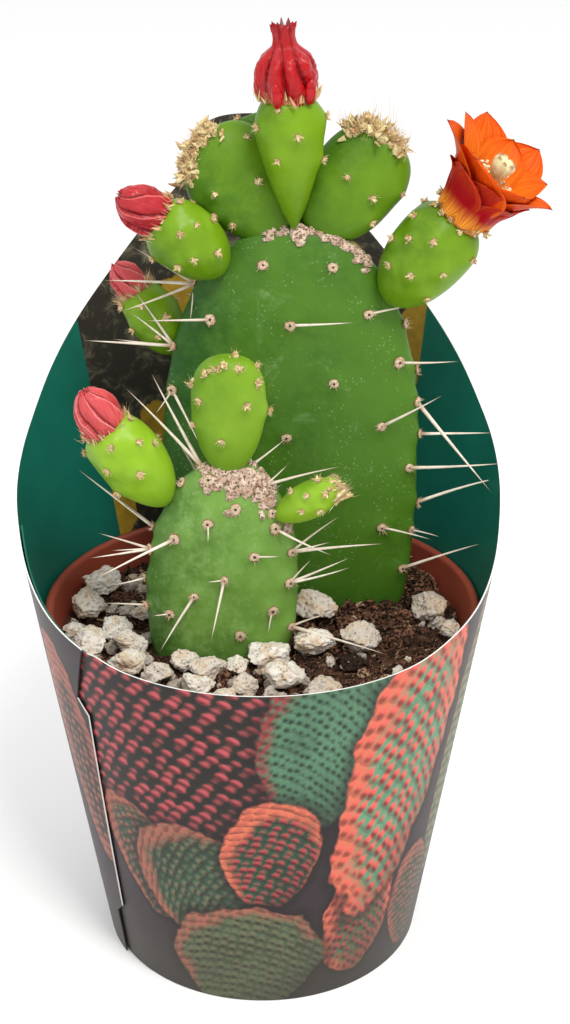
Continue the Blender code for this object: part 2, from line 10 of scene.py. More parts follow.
import bmesh
import bpy
import numpy as np
from mathutils import Matrix, Vector, noise
from mathutils.bvhtree import BVHTree


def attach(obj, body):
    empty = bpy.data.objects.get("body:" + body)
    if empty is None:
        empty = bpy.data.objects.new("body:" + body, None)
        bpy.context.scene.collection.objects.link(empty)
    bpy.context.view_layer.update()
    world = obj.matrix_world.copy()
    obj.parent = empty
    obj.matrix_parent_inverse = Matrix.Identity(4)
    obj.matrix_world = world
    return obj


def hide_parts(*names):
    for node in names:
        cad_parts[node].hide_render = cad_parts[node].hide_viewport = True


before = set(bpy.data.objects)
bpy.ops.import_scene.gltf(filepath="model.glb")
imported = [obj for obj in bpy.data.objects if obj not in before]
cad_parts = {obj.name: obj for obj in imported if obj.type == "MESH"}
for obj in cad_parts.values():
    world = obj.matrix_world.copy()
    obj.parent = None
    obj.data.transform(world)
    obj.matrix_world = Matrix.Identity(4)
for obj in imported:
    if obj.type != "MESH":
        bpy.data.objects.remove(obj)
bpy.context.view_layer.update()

MM = 0.001

# ---------------------------------------------------------------- sizes of the design
POT_RIM_RADIUS = 0.0525
POT_BASE_RADIUS = 0.0380
POT_HEIGHT = 0.0900
POT_WALL = 0.0010
POT_FLOOR = 0.0015
RIM_BAND = 0.0080
RIM_STEP = 0.0012
CARD = 0.0005
SHEET = 0.00036
GAP = 0.0003
SLEEVE_RIM_CLEARANCE = 0.0005
SLEEVE_BASE_CLEARANCE = 0.0009
# The sleeve's top edge: turn from the low front, and rise above the pot's rim.
SLEEVE_EDGE = (
    (0, 0.0033), (35, 0.0042), (50, 0.0067), (62, 0.0092), (73, 0.0133), (84, 0.0190), (94, 0.0270),
    (104, 0.0342), (114, 0.0410), (124, 0.0492), (134, 0.0577), (144, 0.0665), (154, 0.0765), (180, 0.1040),
)
SLEEVE_TURN = 2.5
HEAD_HALF_ANGLE = 15.5
HEAD_SHOULDER = 0.0887
HEAD_RISE = 0.0145
# The card's inner end starts behind the lap, and its outer end stops at the seam.
LAP_START = -88.0
SEAM = 305.1
# Turns over which the outer end eases out to lie over the inner one.
LAP_RAMP = (248.0, 270.0)
# How much lower the inner end's top edge is, and the turns over which it sinks.
LAP_TUCK = 0.0010
TUCK_RAMP = (SEAM - 349, SEAM - 353)
# The outer end's outline starts this far before the seam: height, and degrees past the seam.
FLAP = 10.0
TAB_OUTLINE = ((0.0, -7.0), (0.0140, -6.0), (0.0174, -1.4), (0.0770, 3.8), (0.0804, 0.0))
TAB_END = 6.9
SHEET_LENGTH_CM = 33.0
PANEL_TURNS = (135.6, 225.5)
# Ochre patches of the panel: turn, height, half width and half height (cm).
OCHRE_PATCHES = (
    (197.0, 14.7, 0.70, 0.75), (208.0, 11.4, 0.45, 0.85), (221.0, 9.7, 0.50, 0.90),
    (138.0, 14.0, 0.50, 1.50), (160.0, 15.8, 0.60, 0.50), (178.0, 17.4, 0.50, 0.40),
)
SOIL_BELOW_RIM = 0.0087
SOIL_MOUND = 0.0016
# The soil's heap: x, y, height and spread.
SOIL_HEAP = (0.034, 0.030, 0.0045, 0.011)
ROOT_DEPTH = 0.0150
MAIN_AT = (0.0060, 0.0150)
FRONT_AT = (-0.0110, -0.0130)
FLOWER_TILT = 34.0
FLOWER_LEAN = 17.0
WITHERED = (0.12, 0.02, 0.01)
GAP_BLACK = (0.016, 0.010, 0.012)


# ---------------------------------------------------------------- camera, floor and light
def set_camera():
    camera_data = bpy.data.cameras.new("camera")
    camera_data.lens = 59.24
    camera_data.sensor_width = 36.0
    camera = bpy.data.objects.new("camera", camera_data)
    camera.location = (0.0055, -0.365645, 0.274584)
    camera.rotation_euler = (math.radians(66.08), 0.0, 0.0)
    bpy.context.scene.collection.objects.link(camera)
    bpy.context.scene.camera = camera


def set_stage():
    set_camera()
    floor_graph = Graph("floor_paper")
    grain = floor_graph.noise(900.0, detail=3.0)
    tone = floor_graph.mix(grain, (0.93, 0.93, 0.935), (0.96, 0.96, 0.96))
    floor_graph.shade(tone, roughness=0.85)
    bm = bmesh.new()
    bmesh.ops.create_circle(bm, cap_ends=True, segments=96, radius=4.0)
    floor = add_object("floor", bm, floor_graph.mat)
    floor.location.z = -0.0002

    world = bpy.data.worlds.new("studio")
    world.use_nodes = True
    sky = world.node_tree.nodes["Background"]
    sky.inputs["Color"].default_value = (1.0, 1.0, 1.0, 1.0)
    sky.inputs["Strength"].default_value = 1.0
    bpy.context.scene.world = world
    bpy.context.scene.view_settings.view_transform = "Standard"
    add_light("key", (0.28, -0.55, 1.05), 0.35, 8.5, (1.0, 0.98, 0.94))
    add_light("fill", (-0.70, -0.70, 0.60), 0.60, 1.2, (0.96, 0.98, 1.0))


def add_light(name, place, size, power, color):
    """A square soft light that faces the plant."""
    data = bpy.data.lights.new(name, "AREA")
    data.size = size
    data.energy = power
    data.color = color
    light = bpy.data.objects.new(name, data)
    light.location = place
    aim = Vector((0.0, 0.0, 0.11)) - Vector(place)
    light.rotation_euler = aim.to_track_quat("-Z", "Y").to_euler()
    bpy.context.scene.collection.objects.link(light)


# ---------------------------------------------------------------- materials
class Graph:
    """A procedural material, put together node by node."""

    def __init__(self, name):
        self.mat = bpy.data.materials.new(name)
        self.mat.use_nodes = True
        self.tree = self.mat.node_tree
        self.shader = self.tree.nodes["Principled BSDF"]
        self.place = self.node("TexCoord", out="Object")

    def node(self, kind, inputs=(), out=0, **settings):
        node = self.tree.nodes.new("ShaderNode" + kind)
        for key, value in settings.items():
            setattr(node, key, value)
        for key, value in dict(inputs).items():
            self.plug(node.inputs[key], value)
        return node.outputs[out]

    def plug(self, socket, value):
        if isinstance(value, bpy.types.NodeSocket):
            self.tree.links.new(value, socket)
        elif socket.type == "RGBA" and len(value) == 3:
            socket.default_value = (*value, 1.0)
        else:
            socket.default_value = value

    def math(self, operation, *values, clamp=False):
        inputs = dict(enumerate(values))
        return self.node("Math", inputs, operation=operation, use_clamp=clamp)

    def plus(self, a, b):
        return self.math("ADD", a, b)

    def less(self, a, b):
        return self.math("SUBTRACT", a, b)

    def times(self, a, b):
        return self.math("MULTIPLY", a, b)

    def over(self, a, b):
        return self.math("DIVIDE", a, b)

    def mix(self, factor, a, b, blend="MIX"):
        inputs = {0: factor, 6: a, 7: b}
        return self.node("Mix", inputs, 2, data_type="RGBA", blend_type=blend)

    def lay(self, tone, mask, share, color):
        """Lays a colour over the tone where the mask is 1, by no more than the share."""
        return self.mix(self.times(mask, share), tone, color)

    def spot(self, x, y, z=0.0):
        return self.node("CombineXYZ", {0: x, 1: y, 2: z})

    def sheet(self):
        """Where a point lies on the card: along it and up it (cm), and the two as a place."""
        uv = self.node("UVMap", out="UV", uv_map="sheet")
        u, v = (self.node("SeparateXYZ", {0: uv}, k) for k in (0, 1))
        return u, v, self.spot(u, v)

    def ramp(self, value, low, high):
        """0 at low, 1 at high, smooth between. low may be above high."""
        inputs = {"Value": value, "From Min": low, "From Max": high}
        return self.node("MapRange", inputs, interpolation_type="SMOOTHSTEP")

    def noise(self, scale, detail=2.0, place=None, roughness=0.5, distortion=0.0):
        inputs = {"Vector": place or self.place, "Scale": scale, "Detail": detail,
                  "Roughness": roughness, "Distortion": distortion}
        return self.node("TexNoise", inputs)

    def cells(self, scale, place=None, randomness=1.0, out="Distance"):
        inputs = {"Vector": place or self.place, "Scale": scale, "Randomness": randomness}
        return self.node("TexVoronoi", inputs, out)

    def value(self, name):
        """The number that a mesh keeps at each of its points under this name."""
        return self.node("Attribute", out="Fac", attribute_name=name)

    def bump(self, height, strength, distance):
        inputs = {"Height": height, "Strength": strength, "Distance": distance}
        return self.node("Bump", inputs)

    def shade(self, color, roughness=0.5, bump=None, **settings):
        self.plug(self.shader.inputs["Base Color"], color)
        self.plug(self.shader.inputs["Roughness"], roughness)
        if bump:
            self.plug(self.shader.inputs["Normal"], bump)
        for key, value in settings.items():
            self.shader.inputs[key.replace("_", " ")].default_value = value
        return self.mat


def skin_material(name, deep, bright, pale, flecks, roughness=0.42):
    """Plant skin: mottled green, pale flecks, a waxy bloom, a paler ring round each areole, and painted
    light and shade.
    """
    g = Graph(name)
    broad = g.ramp(g.noise(55.0, 3.0), 0.35, 0.68)
    fine = g.noise(420.0, 4.0, roughness=0.65)
    tone = g.mix(broad, deep, bright)
    tone = g.lay(tone, g.ramp(fine, 0.35, 0.75), 0.35 + 0.65 * flecks, pale)
    # Painted light: the skin is mixed more and more to the bright green from the shoot's left edge to its
    # right side (+X).
    tone = g.mix(g.value("flush"), tone, bright)
    # Painted shade along the shoot's left edge, in the deep green.
    tone = g.lay(tone, g.ramp(g.value("flush"), 0.30, 0.0), 0.75, deep)
    # Painted shade: the deep green is laid on towards the shoot's foot.
    tone = g.lay(tone, g.value("low"), 0.55, deep)
    dots = g.ramp(g.cells(950.0), 0.26, 0.10)
    patchy = g.ramp(g.noise(130.0, 2.0), 0.48, 0.62)
    dots = g.times(g.times(dots, patchy), 0.6)
    bloom = g.ramp(g.noise(60.0, 6.0, distortion=0.8, roughness=0.75), 0.56, 0.74)
    fleck = (0.26, 0.40, 0.17)
    tone = g.lay(tone, dots, flecks, fleck)
    tone = g.lay(tone, bloom, flecks * 0.50, fleck)
    ring = g.times(g.value("areole"), 0.35)
    tone = g.mix(ring, tone, pale)
    height = g.plus(g.noise(900.0, 3.0), g.times(g.noise(150.0, 2.0), 1.5))
    rough = g.node("MapRange", {"Value": fine, "To Min": roughness - 0.06, "To Max": roughness + 0.12})
    g.shade(tone, rough, g.bump(height, 0.22, 0.0004), Subsurface_Weight=0.06, Subsurface_Scale=0.0010,
            Specular_IOR_Level=0.20)
    g.shader.inputs["Subsurface Radius"].default_value = (0.6, 1.0, 0.25)
    return g.mat


def fleshy_red_material(name, deep, bright, edge, crease, roughness, coat):
    """Folded petals of a closed bud: red, with painted shade in creases and folds, painted highlights on
    raised fold edges, and paler towards the foot.
    """
    g = Graph(name)
    streaks = g.noise(1.0, 4.0, g.spot(g.times(g.value("round"), 60.0), g.times(g.value("along"), 3.0)))
    tone = g.mix(g.ramp(streaks, 0.3, 0.7), deep, bright)
    # Where fold nears 1 the crease colour is laid on: painted shade in the tall bud's creases, and a
    # painted highlight on the round buds' raised fold edges.
    tone = g.lay(tone, g.ramp(g.value("fold"), 0.60, 1.0), 0.8, crease)
    # Painted shade in the deep just behind each round bud's fold edge.
    tone = g.lay(tone, g.ramp(g.value("fold"), 0.0, -1.0), 0.75, scaled(deep, 0.3))
    foot = g.ramp(g.value("along"), 0.20, 0.02)
    foot = g.times(foot, g.ramp(g.value("fold"), 0.2, 0.7))
    tone = g.mix(foot, tone, edge)
    height = g.plus(streaks, g.times(g.noise(620.0, 3.0), 1.6))
    return g.shade(tone, roughness, g.bump(height, 0.40, 0.0005), Coat_Weight=coat, Coat_Roughness=0.12,
                   Specular_IOR_Level=0.22, Subsurface_Weight=0.06, Subsurface_Scale=0.001)


def petal_material(name, foot, middle, tip, back, back_foot):
    """A silky petal: its inner face pales to its foot, and its back is redder with fine veins."""
    g = Graph(name)
    along = g.value("along")
    veins = g.noise(1.0, 4.0, g.spot(g.times(g.value("across"), 9.0), g.times(along, 1.6)))
    inner = g.mix(g.ramp(along, 0.12, 0.62), foot, middle)
    inner = g.mix(g.ramp(along, 0.55, 1.0), inner, tip)
    outer = g.mix(g.ramp(along, 0.05, 0.38), back_foot, back)
    outer = g.lay(outer, g.ramp(along, 0.45, 0.95), 0.5, middle)
    rim = g.ramp(g.math("ABSOLUTE", g.value("across")), 0.70, 1.0)
    outer = g.lay(outer, rim, 0.55, middle)
    tone = g.mix(g.value("inside"), outer, inner)
    tone = g.lay(tone, g.ramp(veins, 0.42, 0.62), 0.55, back)
    tone = g.mix(g.ramp(along, 0.985, 1.0), tone, WITHERED)
    return g.shade(tone, 0.42, g.bump(veins, 0.35, 0.0004), Subsurface_Weight=0.06, Subsurface_Scale=0.0012,
                   Specular_IOR_Level=0.08)


def spine_material(name, base, shaft, tip):
    """A spine or bristle, coloured along its length and from one to the next."""
    g = Graph(name)
    along = g.value("along")
    tone = g.mix(g.ramp(along, 0.0, 0.18), base, shaft)
    tone = g.mix(g.ramp(along, 0.72, 1.0), tone, tip)
    grain = g.noise(700.0, 3.0)
    tone = g.lay(tone, g.ramp(grain, 0.45, 0.7), 0.30, base)
    dim = g.times(g.value("shade"), 0.35)
    tone = g.mix(dim, tone, base)
    return g.shade(tone, 0.48, g.bump(grain, 0.3, 0.0002))


def felt_material():
    """The felted cushion of an areole: tan-grey wool with a darker rim."""
    g = Graph("areole_felt")
    wool = g.noise(2600.0, 4.0, roughness=0.7)
    tone = g.mix(g.ramp(wool, 0.32, 0.62), (0.36, 0.22, 0.13), (0.72, 0.58, 0.42))
    tone = g.mix(g.ramp(g.value("along"), 0.80, 0.60), tone, (0.27, 0.13, 0.06))
    tone = g.mix(g.value("shade"), tone, (0.060, 0.030, 0.018))
    return g.shade(tone, 0.95, g.bump(wool, 0.8, 0.0004), Sheen_Weight=0.1)


def cork_material():
    """Dry corky scabs: pale tan and grey flakes with dark cracks."""
    g = Graph("cork_scab")
    flake = g.cells(900.0, out="Color")
    level = g.node("SeparateColor", {"Color": flake})
    tone = g.mix(level, (0.42, 0.27, 0.19), (0.70, 0.56, 0.44))
    grit = g.noise(1800.0, 4.0)
    tone = g.mix(g.ramp(grit, 0.50, 0.38), tone, (0.18, 0.10, 0.065))
    return g.shade(tone, 0.92, g.bump(grit, 0.9, 0.0006))


def scale_material(name, dull, light, blush):
    """A withered scale leaf: cream with a blush and brown edges."""
    g = Graph(name)
    grain = g.noise(800.0, 4.0)
    tone = g.mix(g.ramp(grain, 0.35, 0.65), dull, light)
    tone = g.lay(tone, g.value("shade"), 0.8, blush)
    tone = g.mix(g.ramp(g.value("along"), 0.85, 1.0), tone, (0.30, 0.15, 0.06))
    return g.shade(tone, 0.7, g.bump(grain, 0.6, 0.0004), Subsurface_Weight=0.05, Subsurface_Scale=0.0008)


def soil_material():
    """Damp fibrous potting mix: near black, flecked with red-brown fibres and pale grit."""
    g = Graph("potting_mix")
    lumps = g.noise(260.0, 6.0, roughness=0.7)
    fibre_place = g.node("Mapping", {"Vector": g.place, "Scale": (900.0, 240.0, 500.0),
                                     "Rotation": (0.0, 0.0, 0.7)})
    fibres = g.noise(1.0, 5.0, place=fibre_place, distortion=2.2)
    tone = g.mix(g.ramp(lumps, 0.34, 0.66), (0.013, 0.006, 0.004), (0.100, 0.048, 0.029))
    tone = g.lay(tone, g.ramp(fibres, 0.56, 0.70), 0.7, (0.20, 0.105, 0.06))
    grit = g.ramp(g.cells(480.0), 0.16, 0.08)
    grit = g.times(grit, g.ramp(g.noise(90.0), 0.55, 0.7))
    tone = g.mix(grit, tone, (0.50, 0.42, 0.33))
    height = g.plus(lumps, g.times(fibres, 0.6))
    return g.shade(tone, 0.92, g.bump(height, 1.0, 0.0012), Specular_IOR_Level=0.15)


def crumb_material():
    """Loose bits of bark and fibre, each with a tone of its own."""
    g = Graph("loose_bits")
    shade = g.value("shade")
    tone = g.mix(g.ramp(shade, 0.1, 0.75), (0.034, 0.017, 0.011), (0.21, 0.10, 0.058))
    tone = g.mix(g.ramp(shade, 0.80, 1.0), tone, (0.46, 0.31, 0.19))
    grain = g.noise(1400.0, 4.0)
    tone = g.mix(g.ramp(grain, 0.6, 0.4), tone, (0.012, 0.006, 0.004))
    return g.shade(tone, 0.88, g.bump(grain, 0.8, 0.0005), Specular_IOR_Level=0.15)


def pumice_material():
    """Pitted stone: warm off-white, each piece a little different, with dirt in its hollows and painted
    shade on its underside.
    """
    g = Graph("pumice_stone")
    shade = g.value("shade")
    tone = g.mix(shade, (0.52, 0.45, 0.38), (0.80, 0.75, 0.67))
    warm = g.ramp(g.noise(240.0, 5.0, roughness=0.65), 0.46, 0.64)
    tone = g.lay(tone, warm, 0.8, (0.60, 0.44, 0.28))
    speck = g.noise(800.0, 5.0, roughness=0.7)
    tone = g.lay(tone, g.ramp(speck, 0.45, 0.32), 0.5, (0.26, 0.18, 0.12))
    pits = g.ramp(g.cells(950.0), 0.26, 0.12)
    pits = g.times(pits, g.ramp(g.noise(380.0, 2.0), 0.46, 0.60))
    tone = g.lay(tone, pits, 0.6, (0.20, 0.14, 0.09))
    # Dirt in the hollows, and painted shade on each stone's underside.
    tone = g.lay(tone, g.value("dirt"), 0.8, (0.10, 0.055, 0.03))
    height = g.less(g.times(speck, 0.8), pits)
    return g.shade(tone, 0.93, g.bump(height, 0.8, 0.0007))


def pot_material():
    """Terracotta-coloured plastic with a satin skin, faint rings and dust."""
    g = Graph("terracotta_plastic")
    cloud = g.noise(60.0, 4.0)
    tone = g.mix(cloud, (0.23, 0.040, 0.021), (0.32, 0.066, 0.034))
    dust = g.ramp(g.noise(900.0, 5.0, roughness=0.7), 0.60, 0.78)
    tone = g.lay(tone, dust, 0.35, (0.34, 0.20, 0.14))
    ring_place = g.node("Mapping", {"Vector": g.place, "Scale": (20.0, 20.0, 1400.0)})
    rings = g.noise(1.0, 2.0, place=ring_place)
    rough = g.node("MapRange", {"Value": cloud, "To Min": 0.36, "To Max": 0.55})
    return g.shade(tone, rough, g.bump(rings, 0.15, 0.0002))


# ---------------------------------------------------------------- the sleeve's print
DARK = (0.034, 0.023, 0.028)
HAZE = (0.070, 0.070, 0.048)
LEAF = (0.105, 0.245, 0.140)
MOSS = (0.026, 0.034, 0.022)
OLIVE = (0.17, 0.18, 0.08)
MINT = (0.14, 0.33, 0.19)
PINE = (0.055, 0.120, 0.068)
SAGE = (0.115, 0.160, 0.080)
CORAL = (0.62, 0.150, 0.085)
ROSE = (0.27, 0.040, 0.045)
RUST = (0.34, 0.110, 0.075)
BRICK = (0.20, 0.065, 0.048)
SCARLET = (0.52, 0.075, 0.060)
FERN = (0.050, 0.110, 0.066)
PINK = (0.33, 0.055, 0.065)
UMBER = (0.090, 0.085, 0.050)
# Printed pads, back to front: middle along and up the card (cm), half width, half
# height, turn, ground, bump and rim colours, width and height of a bump, slant of their rows, how
# much of the pad is rim, and how dark the gaps between its bumps are.
PRINT_PADS = (
    (-3.2, 7.7, 4.3, 3.5, 0, MOSS, PINK, MOSS, 0.40, 0.27, 26, 0.0, 0.8),
    (6.5, 6.6, 0.9, 4.8, -6, OLIVE, SAGE, RUST, 0.30, 0.30, 20, 0.10, 0.3),
    (5.0, 2.0, 1.0, 1.7, 10, PINE, BRICK, RUST, 0.24, 0.20, 20, 0.20, 0.4),
    (1.40, 8.0, 1.70, 2.6, -10, LEAF, FERN, ROSE, 0.20, 0.22, 30, 0.14, 0.25),
    (-3.6, 4.0, 1.1, 1.9, 30, PINE, BRICK, RUST, 0.24, 0.22, 10, 0.15, 0.5),
    (-2.2, 3.75, 1.60, 1.75, 34, PINE, UMBER, RUST, 0.25, 0.24, -28, 0.20, 0.5),
    (0.06, 4.75, 1.28, 1.60, -12, PINE, ROSE, CORAL, 0.30, 0.20, 10, 0.22, 0.6),
    (2.75, 2.30, 1.20, 1.75, -10, SAGE, ROSE, CORAL, 0.24, 0.26, 20, 0.36, 0.2),
    (-0.70, 1.45, 2.35, 1.60, 2, SAGE, UMBER, RUST, 0.27, 0.24, 14, 0.16, 0.4),
    (3.50, 6.7, 1.60, 4.4, -12, MINT, SCARLET, CORAL, 0.32, 0.36, 32, 0.36, 0.15),
)
# Where the front's print gives way to the back's, between two printed pads.
PRINT_JOIN = 87.0


def scaled(color, share):
    return tuple(share * k for k in color)


def print_pad(g, u, v, tone, pad):
    """Lays one printed pad over the tone: lit and shaded bumps in rows, a lit rim and a shadow."""
    cu, cv, half_u, half_v, turn, ground, bump, rim, wide, high, slant, rim_share, gaps = pad
    c, s = math.cos(math.radians(turn)), math.sin(math.radians(turn))
    du, dv = g.less(u, cu), g.less(v, cv)
    x = g.plus(g.times(du, c), g.times(dv, s))
    y = g.less(g.times(dv, c), g.times(du, s))
    ex, ey = g.over(x, half_u), g.over(y, half_v)
    place = g.spot(x, y, cu)
    tint = g.noise(1.1, 3.0, place)
    reach = g.math("SQRT", g.plus(g.times(ex, ex), g.times(ey, ey)))
    reach = g.plus(reach, g.times(g.less(tint, 0.5), 0.40))
    # The rows bend with the pad, so its middle seems to bulge.
    bent = g.spot(x, g.plus(y, g.times(g.times(x, ex), 0.28)), cu)
    settings = {"Rotation": (0.0, 0.0, math.radians(slant)), "Scale": (1.0 / wide, 1.0 / high, 0.01)}
    above = g.node("Mapping", {"Vector": bent, "Location": (0.0, 0.16, 0.0), **settings})
    below = g.node("Mapping", {"Vector": bent, "Location": (0.0, -0.16, 0.0), **settings})
    far, near = g.cells(1.0, above, randomness=0.36), g.cells(1.0, below, randomness=0.36)
    lit = g.ramp(g.less(far, near), -0.26, 0.24)
    away = g.times(g.plus(far, near), 0.5)
    edge = g.plus(reach, g.times(ex, -0.14))
    edge = g.plus(edge, g.times(ey, 0.14))
    edge = g.plus(edge, g.times(tint, 0.36))
    edge = g.ramp(edge, 1.16 - 1.1 * rim_share, 1.30 - 0.6 * rim_share)
    body = g.mix(g.ramp(tint, 0.35, 0.72), ground, scaled(ground, 0.6))
    gap = g.times(g.ramp(away, 0.36, 0.62), gaps)
    body = g.mix(gap, body, GAP_BLACK)
    body = g.mix(edge, body, rim)
    underside = g.times(g.ramp(lit, 0.55, 0.0), 0.25 + 0.6 * gaps)
    body = g.mix(underside, body, GAP_BLACK)
    raised = tuple(min(1.45 * k, 0.9) for k in bump)
    bump_tone = g.mix(lit, scaled(bump, 0.35), raised)
    bump_tone = g.lay(bump_tone, edge, gaps, rim)
    body = g.mix(g.ramp(away, 0.52, 0.31), body, bump_tone)
    side = g.times(g.ramp(g.less(ex, ey), 0.4, 1.6), 0.50)
    body = g.mix(side, body, (0.020, 0.014, 0.015))
    shadow = g.times(g.ramp(reach, 1.22, 1.0), 0.7)
    tone = g.mix(shadow, tone, scaled(DARK, 0.35))
    return g.mix(g.ramp(reach, 1.02, 0.96), tone, body)


def back_pads():
    """Printed pads for the part of the sheet from the right side round the back to the lap."""
    draw = random.Random(5)
    pads = []
    for k in range(11):
        middle = 10.9 + 14.0 * ((k * 0.618) % 1.0)
        height = 1.5 + 15.0 * k / 10
        ground, bump = draw.choice(((LEAF, PINE), (PINE, ROSE), (MOSS, ROSE), (SAGE, BRICK)))
        size = draw.uniform(1.5, 2.5)
        half_height, turn = size * draw.uniform(1.0, 1.6), draw.uniform(-35, 35)
        rim = draw.choice((CORAL, RUST, ROSE))
        slant, rim_share, gaps = draw.uniform(-40, 40), draw.uniform(0.0, 0.3), draw.uniform(0.2, 0.6)
        shape = (middle, height, size, half_height, turn)
        pads.append((*shape, ground, bump, rim, 0.27, 0.23, slant, rim_share, gaps))
    pads.append((SHEET_LENGTH_CM - 5.6, 6.2, 1.0, 3.2, 12, MOSS, BRICK, RUST, 0.28, 0.26, 10, 0.45, 0.4))
    return pads


def printed_card_material(name, pads):
    g = Graph(name)
    u, v, place = g.sheet()
    tone = g.mix(g.noise(0.5, 4.0, place), scaled(DARK, 0.5), scaled(DARK, 1.3))
    for pad in pads:
        tone = print_pad(g, u, v, tone, pad)
    soft = g.noise(9.0, 3.0, place)
    tone = g.lay(tone, soft, 0.10, HAZE)
    low = g.times(g.ramp(v, 3.0, 0.0), 0.36)
    tone = g.mix(low, tone, HAZE)
    fibre = g.noise(14.0, 5.0, place)
    return g.shade(tone, 0.42, g.bump(fibre, 0.06, 0.0002), Specular_IOR_Level=0.20)


def card_inside_material():
    """The sheet's teal back, with painted shade low down, a dark picture panel in the middle and no
    lettering.
    """
    g = Graph("card_inside")
    u, v, place = g.sheet()
    mottle = g.noise(1.1, 4.0, place)
    teal = g.mix(mottle, (0.004, 0.110, 0.076), (0.008, 0.162, 0.112))
    # Painted shade: the teal darkens below 11 cm up the card, down inside the sleeve.
    teal = g.lay(teal, g.ramp(v, 11.0, 8.0), 0.5, (0.006, 0.090, 0.062))
    low, high = (turn / 360.0 * SHEET_LENGTH_CM for turn in PANEL_TURNS)
    slant = g.times(g.less(13.0, v), 0.055)
    inside = g.times(g.ramp(u, low, low + 0.03), g.ramp(g.plus(u, slant), high, high - 0.03))
    rock = g.noise(1.9, 7.0, place, roughness=0.72, distortion=0.6)
    panel = g.mix(g.ramp(rock, 0.48, 0.74), (0.027, 0.024, 0.017), (0.190, 0.172, 0.115))
    ochre = g.mix(g.noise(4.0, 3.0, place), (0.20, 0.10, 0.012), (0.50, 0.33, 0.030))
    ragged = g.times(g.noise(2.2, 4.0, place), 0.9)
    for turn, height, wide, tall in OCHRE_PATCHES:
        du = g.over(g.less(u, turn / 360.0 * SHEET_LENGTH_CM), wide)
        dv = g.over(g.less(v, height), tall)
        reach = g.plus(g.times(du, du), g.times(dv, dv))
        leaf = g.ramp(g.plus(g.math("SQRT", reach), ragged), 1.42, 1.30)
        panel = g.mix(leaf, panel, ochre)
    tone = g.mix(inside, teal, panel)
    fibre = g.noise(16.0, 5.0, place)
    return g.shade(tone, 0.50, g.bump(fibre, 0.08, 0.0002), Specular_IOR_Level=0.25)


def card_edge_material():
    g = Graph("card_edge")
    u, v, _ = g.sheet()
    fibre = g.noise(3000.0, 3.0)
    white = g.mix(fibre, (0.66, 0.65, 0.62), (0.86, 0.86, 0.84))
    # At the seam the print runs on over the cut, above and below the tab.
    seam = g.ramp(u, (SEAM - 9.0) / 360.0 * SHEET_LENGTH_CM, (SEAM - 8.0) / 360.0 * SHEET_LENGTH_CM)
    beyond = g.math("ADD", g.ramp(v, 8.03, 8.06), g.ramp(v, 1.74, 1.69), clamp=True)
    beyond = g.times(beyond, g.ramp(v, 9.64, 9.58))
    tone = g.mix(g.times(seam, beyond), white, DARK)
    # The inner end behind the lap shows no white line.
    behind = g.ramp(u, (SEAM - 352.0) / 360.0 * SHEET_LENGTH_CM, (SEAM - 353.0) / 360.0 * SHEET_LENGTH_CM)
    tone = g.mix(behind, tone, (0.006, 0.130, 0.090))
    return g.shade(tone, 0.8, g.bump(fibre, 0.3, 0.0002))


# ---------------------------------------------------------------- mesh helpers
def add_object(name, bm, *mats, smooth=60):
    bmesh.ops.recalc_face_normals(bm, faces=bm.faces)
    mesh = bpy.data.meshes.new(name)
    bm.to_mesh(mesh)
    bm.free()
    return link_mesh(name, mesh, mats, smooth)


def link_mesh(name, mesh, mats, smooth=60):
    mesh.shade_smooth()
    if smooth:
        mesh.set_sharp_from_angle(angle=math.radians(smooth))
    for mat in mats:
        mesh.materials.append(mat)
    obj = bpy.data.objects.new(name, mesh)
    bpy.context.scene.collection.objects.link(obj)
    return obj


def finish_piece(piece, slot, *nodes):
    """Every piece rides on the one body, and may stand for some of the CAD nodes."""
    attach(piece, "root")
    if nodes:
        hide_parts(*nodes)
    return piece


def new_mesh(name, points, faces, values=None):
    mesh = bpy.data.meshes.new(name)
    mesh.from_pydata([tuple(p) for p in points], [], faces)
    keep_values(mesh, values or {})
    return mesh


def keep_values(mesh, values):
    for name, numbers in values.items():
        store = mesh.attributes.new(name, "FLOAT", "POINT")
        store.data.foreach_set("value", np.asarray(numbers, np.float32))


class Soup:
    """Many small closed bodies gathered into one mesh, with named values at each point."""

    def __init__(self, *names):
        self.points = []
        self.faces = []
        self.values = {name: [] for name in names}

    def add(self, points, faces, **values):
        start = len(self.points)
        self.points.extend(points)
        self.faces.extend([start + k for k in face] for face in faces)
        for name, store in self.values.items():
            given = values.get(name, 0.0)
            store.extend(given if hasattr(given, "__len__") else [given] * len(points))

    def build(self, name, mat, smooth=60):
        return link_mesh(name, new_mesh(name, self.points, self.faces, self.values), [mat], smooth)


def grid_faces(rows, columns, wrap=True):
    faces = []
    for i in range(rows - 1):
        low, high = i * columns, (i + 1) * columns
        for j in range(columns if wrap else columns - 1):
            k = (j + 1) % columns
            faces.append((low + j, low + k, high + k, high + j))
    return faces


def cap_faces(rows, columns, foot, top):
    """Fans that close the first and last rows of a wrapped grid."""
    last = (rows - 1) * columns
    faces = []
    for j in range(columns):
        k = (j + 1) % columns
        faces += [(foot, k, j), (top, last + j, last + k)]
    return faces


def grid_rim(columns, rows):
    """The (column, row) places round the edge of a grid, in order."""
    rim = [(i, 0) for i in range(columns)]
    rim += [(columns - 1, k) for k in range(1, rows)]
    rim += [(i, rows - 1) for i in range(columns - 2, -1, -1)]
    return rim + [(0, k) for k in range(rows - 2, 0, -1)]


